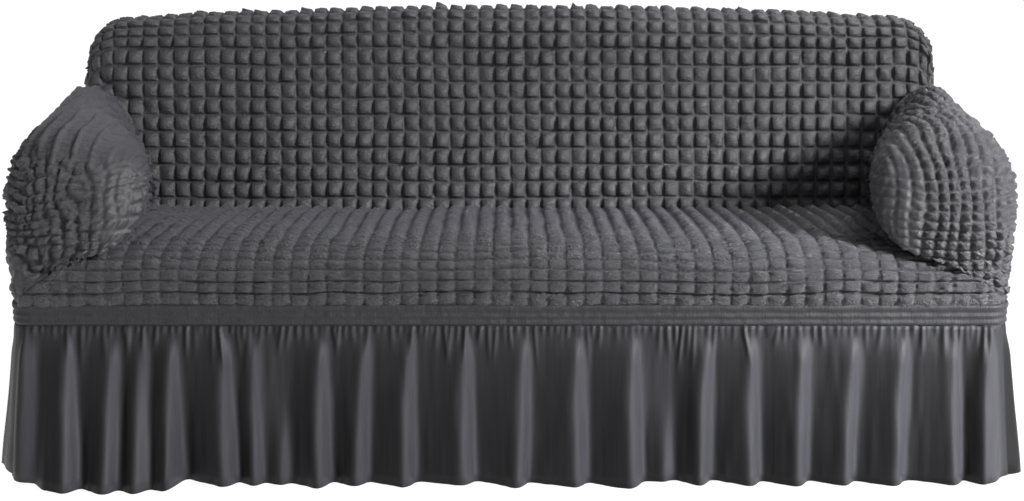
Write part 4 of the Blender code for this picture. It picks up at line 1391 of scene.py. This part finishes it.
def skirt_sheet(settings, name, start, end, folds, seed, step, height_steps, tucked):
    """One gathered length between two places on the base line, from its hem up to the band.

    tucked is how far its ends stand behind the plain line, where the next length laps over them.
    """
    gathers = top_gathers(start, end, np.random.default_rng(seed))
    places = np.linspace(start, end, int((end - start) / step) + 1)
    foot, normal = along_line(places)
    tangent = np.column_stack((-normal[:, 1], normal[:, 0]))
    inside = between(places, start, end, SKIRT_END_FADES)
    leaning = between(places, start, end, SKIRT_LEAN_FADES)
    spread = 0.0
    if name == "skirt_front_cloth":
        spread = FRONT_SPREAD["flare"] * between(places, FRONT_SPREAD["start"], FRONT_SPREAD["end"],
                                                 FRONT_SPREAD["fades"])
    shares = np.linspace(0.0, 1.0, height_steps) ** 0.8
    rows = []
    stands = []
    for share in shares:
        height = SKIRT_TOP * share
        drop = 1.0 - share
        out, sideways = skirt_offsets(places, height, folds, gathers)
        out = SKIRT_FLARE * drop + (out - SKIRT_FLARE * drop) * inside - tucked * (1.0 - inside)
        stands.append(out)
        uneven = drop * ripple(places, share, SKIRT_UNEVEN, seed + 1)
        uneven = uneven + ripple(places, share, SKIRT_CREASED, seed + 2)
        out = out + spread * drop ** 1.5 + inside * uneven
        wave = smooth_noise(places / SKIRT_HEM_WAVE[1], 0.0, seed + 3)
        hem = SKIRT_HEM_WAVE[0] * (1.0 + wave) * drop ** 3
        place = foot + normal * out[:, None] + tangent * (sideways * leaning)[:, None]
        rows.append(np.column_stack((place, height + hem)))
    points = np.array(rows)
    points[-1, :, 2] = BAND_BOTTOM + SKIRT_TURN_UP
    fabric = np.dstack(np.meshgrid(places, shares * SKIRT_TOP))
    # Painted shade and light for the skirt's colour: low where a fold rises along the line, high where it
    # falls back.
    turned = np.gradient(np.array(stands), axis=1) / np.gradient(places)
    painted_slope_shade = ease(0.5 - 0.7 * turned)
    return cloth_sheet(name, points, fabric, painted_slope_shade, slot_cloth(settings, "skirt_cloth"),
                       settings.cloth_thickness)


def skirt_ends():
    """Where each gathered length starts and ends on the base line; they meet in the corners' middles."""
    total = line_run()[-1]
    front = BASE_HALF_WIDTH - FRONT_CORNER + FRONT_CORNER * math.pi / 4
    rear = front + FRONT_CORNER * math.pi / 4 + BACK_END_Y - FRONT_CORNER + REAR_CORNER_HALF
    return {
        "skirt_front": (-front, front),
        "skirt_right": (front, rear),
        "skirt_rear": (rear, total - rear),
        "skirt_left": (total - rear, total - front),
    }


# ---------------------------------------------------------------------------------------------------
# Settings, operators and panel
# ---------------------------------------------------------------------------------------------------

def length_setting(name, description, default, least=0.0):
    """A length that a user can change."""
    return FloatProperty(name=name, description=description, default=default, min=least, unit="LENGTH")


def power_setting(name, description, default):
    """A light's power that a user can change."""
    return FloatProperty(name=name, description=description, default=default, min=0.0, unit="POWER")


def colour_setting(name, description, code):
    """A colour that a user can change, from its sRGB hex code."""
    return FloatVectorProperty(name=name, description=description, default=linear(code), min=0.0, max=1.0,
                               subtype="COLOR")


class SlipcoverSettings(bpy.types.PropertyGroup):
    """Sizes and colours of the slipcover."""

    puff_pitch: length_setting("Puff pitch", "Distance between shirring threads", 0.0375, 0.01)
    puff_height: length_setting("Puff height", "How far a puff stands out", 0.0105)
    arm_puff_height: length_setting("Arm puff height", "How far the sleeves' puffs stand out", 0.0135)
    cloth_thickness: length_setting("Cloth thickness", "Thickness of the band and the skirt", 0.0012,
                                    0.0005)
    puff_colour: colour_setting("Puff colour", "Colour of the puffs", "#2a2a2e")
    thread_colour: colour_setting("Thread colour", "Colour between the puffs", "#2a2a2e")
    band_colour: colour_setting("Band colour", "Colour of the elastic band", "#1e1e22")
    skirt_colour: colour_setting("Skirt colour", "Colour of the skirt", "#1f1f22")


class StageSettings(bpy.types.PropertyGroup):
    """Light and floor of the studio."""

    key_power: power_setting("Key power", "Power of the key light", 2250.0)
    side_power: power_setting("Side power", "Power of the light on the right arm's front", 8.0)
    top_power: power_setting("Top power", "Power of the light over the right arm", 28.0)
    sky: FloatProperty(name="Surround", description="How strongly the white surround lights the cover",
                       default=0.38, min=0.0)
    floor_colour: colour_setting("Floor colour", "Colour of the floor", "#6a6a6a")


class SLIPCOVER_OT_seat(bpy.types.Operator):
    """Make the seat panel"""
    bl_idname = "slipcover.seat"
    bl_label = "Seat panel"

    def execute(self, context):
        sheet = seat_sheet(context.scene.slipcover)
        settle(sheet, "seat_panel")
        return {"FINISHED"}


class SLIPCOVER_OT_back(bpy.types.Operator):
    """Make the inside back"""
    bl_idname = "slipcover.back"
    bl_label = "Inside back"

    def execute(self, context):
        sheet = back_sheet(context.scene.slipcover)
        settle(sheet, "back_panel")
        return {"FINISHED"}


class SLIPCOVER_OT_rear(bpy.types.Operator):
    """Make the outside back"""
    bl_idname = "slipcover.rear"
    bl_label = "Outside back"

    def execute(self, context):
        sheet = rear_sheet(context.scene.slipcover)
        settle(sheet, "rear_panel")
        return {"FINISHED"}


class SLIPCOVER_OT_arms(bpy.types.Operator):
    """Make the two arm sleeves"""
    bl_idname = "slipcover.arms"
    bl_label = "Arm sleeves"

    def execute(self, context):
        for name, node, side, seed, uneven, row_depth, wrapped in (
                ("arm_right_cloth", "arm_right", 1.0, 71, 0.30, 1.0, 0.0),
                ("arm_left_cloth", "arm_left", -1.0, 131, 0.80, 0.8, 1.0)):
            sheet = arm_sheet(context.scene.slipcover, name, side, seed, uneven, row_depth, wrapped)
            settle(sheet, node)
        return {"FINISHED"}


class SLIPCOVER_OT_band(bpy.types.Operator):
    """Make the shirred elastic band"""
    bl_idname = "slipcover.band"
    bl_label = "Elastic band"

    def execute(self, context):
        sheet = band_sheet(context.scene.slipcover)
        settle(sheet, "band")
        return {"FINISHED"}


class SLIPCOVER_OT_skirt(bpy.types.Operator):
    """Make the skirt's four gathered lengths"""
    bl_idname = "slipcover.skirt"
    bl_label = "Gathered skirt"

    def execute(self, context):
        settings = context.scene.slipcover
        random = np.random.default_rng(11)
        for index, (name, (start, end)) in enumerate(skirt_ends().items()):
            lapped = SKIRT_SIDE_LAP if name in ("skirt_left", "skirt_right") else 0.0
            first = start + EDGE_GAP / 2 - lapped
            last = end - EDGE_GAP / 2 + lapped
            if name == "skirt_front":
                folds, step, rows, width = FRONT_FOLDS, 0.0026, 30, 2.55
            elif name == "skirt_rear":
                folds, step, rows, width = even_folds(22, first, last, random), 0.004, 24, 2.40
            else:
                folds, step, rows, width = even_folds(10, first, last, random), 0.0035, 24, 1.06
            sheet = skirt_sheet(settings, name + "_cloth", first, last, folds, 91 + 7 * index, step, rows,
                                SKIRT_LAP_SET_BACK * lapped)
            settle(sheet, name)
        return {"FINISHED"}


CAMERA_PLACE = (0.0, -2.83, 1.10)
CAMERA_TILT = math.radians(12.25)
CAMERA_LENS = 50.27
CAMERA_SHIFT = 0.002
FLOOR_SIZE = 40.0
FLOOR_GAP = 0.0005


class SLIPCOVER_OT_stage(bpy.types.Operator):
    """Set the floor, the lights and the camera"""
    bl_idname = "slipcover.stage"
    bl_label = "Studio stage"

    def execute(self, context):
        scene = context.scene
        settings = scene.slipcover_stage
        bpy.ops.object.select_all(action="DESELECT")
        bpy.ops.mesh.primitive_plane_add(size=FLOOR_SIZE)
        floor = bpy.context.object
        floor.name = "studio_floor"
        for vertex in floor.data.vertices:
            vertex.co.z = -MOUNT_POINT[2] - FLOOR_GAP
        floor.data.materials.append(matt_floor(tuple(settings.floor_colour)))

        bpy.ops.object.camera_add(location=np.array(CAMERA_PLACE) - MOUNT_POINT,
                                  rotation=(math.pi / 2 - CAMERA_TILT, 0.0, 0.0))
        camera = bpy.context.object
        camera.name = "front_camera"
        camera.data.sensor_width = 36.0
        camera.data.lens = CAMERA_LENS
        camera.data.shift_x = CAMERA_SHIFT
        scene.camera = camera

        # Each light's name, place, target, size and spread in degrees, and its power.
        lights = (
            ("key_light", (8.7, -6.5, 6.35), (0.1, 0.4, 0.55), 2.6, 180.0, settings.key_power),
            ("side_light", (3.2, -1.9, 1.9), (1.05, 0.0, 0.30), 0.7, 26.0, settings.side_power),
            ("top_light", (1.6, 0.95, 2.5), (0.75, 0.2, 0.5), 0.9, 180.0, settings.top_power),
        )
        for name, place, target, size, spread, power in lights:
            bpy.ops.object.light_add(type="AREA", location=np.array(place) - MOUNT_POINT)
            light = bpy.context.object
            light.name = name
            light.data.shape = "SQUARE"
            light.data.size = size
            light.data.energy = power
            light.data.spread = math.radians(spread)
            aim = Vector(target) - Vector(place)
            light.rotation_euler = aim.to_track_quat("-Z", "Y").to_euler()

        world = bpy.data.worlds.new("white_surround")
        world.use_nodes = True
        tree = world.node_tree
        surround = tree.nodes["Background"]
        surround.inputs["Color"].default_value = (1.0, 1.0, 1.0, 1.0)
        # The surround is seen as plain white, but lights the cover only softly.
        ray = add_node(tree, "ShaderNodeLightPath")
        seen = add_node(tree, "ShaderNodeMapRange", {"To Min": settings.sky, "To Max": 1.05},
                        {"Value": ray.outputs["Is Camera Ray"]})
        tree.links.new(seen.outputs["Result"], surround.inputs["Strength"])
        scene.world = world
        scene.view_settings.view_transform = "Standard"
        return {"FINISHED"}


class SLIPCOVER_PT_panel(bpy.types.Panel):
    """Lists the slipcover's pieces and sizes"""
    bl_idname = "SLIPCOVER_PT_panel"
    bl_label = "Sofa slipcover"
    bl_space_type = "VIEW_3D"
    bl_region_type = "UI"
    bl_category = "Slipcover"

    def draw(self, context):
        for operator in OPERATORS:
            self.layout.operator(operator.bl_idname)
        for group in (context.scene.slipcover, context.scene.slipcover_stage):
            for name in group.__annotations__:
                self.layout.prop(group, name)


OPERATORS = (
    SLIPCOVER_OT_stage,
    SLIPCOVER_OT_seat,
    SLIPCOVER_OT_back,
    SLIPCOVER_OT_rear,
    SLIPCOVER_OT_arms,
    SLIPCOVER_OT_band,
    SLIPCOVER_OT_skirt,
)
CLASSES = (SlipcoverSettings, StageSettings, *OPERATORS, SLIPCOVER_PT_panel)


def register():
    """Add the settings, the operators and the panel."""
    for item in CLASSES:
        bpy.utils.register_class(item)
    bpy.types.Scene.slipcover = PointerProperty(type=SlipcoverSettings)
    bpy.types.Scene.slipcover_stage = PointerProperty(type=StageSettings)


def unregister():
    """Take the settings, the operators and the panel away again."""
    del bpy.types.Scene.slipcover_stage
    del bpy.types.Scene.slipcover
    for item in reversed(CLASSES):
        bpy.utils.unregister_class(item)


def main():
    """Build every piece in order."""
    register()
    bpy.ops.slipcover.stage()
    bpy.ops.slipcover.seat()
    bpy.ops.slipcover.back()
    bpy.ops.slipcover.rear()
    bpy.ops.slipcover.arms()
    bpy.ops.slipcover.band()
    bpy.ops.slipcover.skirt()


if __name__ == "__main__":
    main()
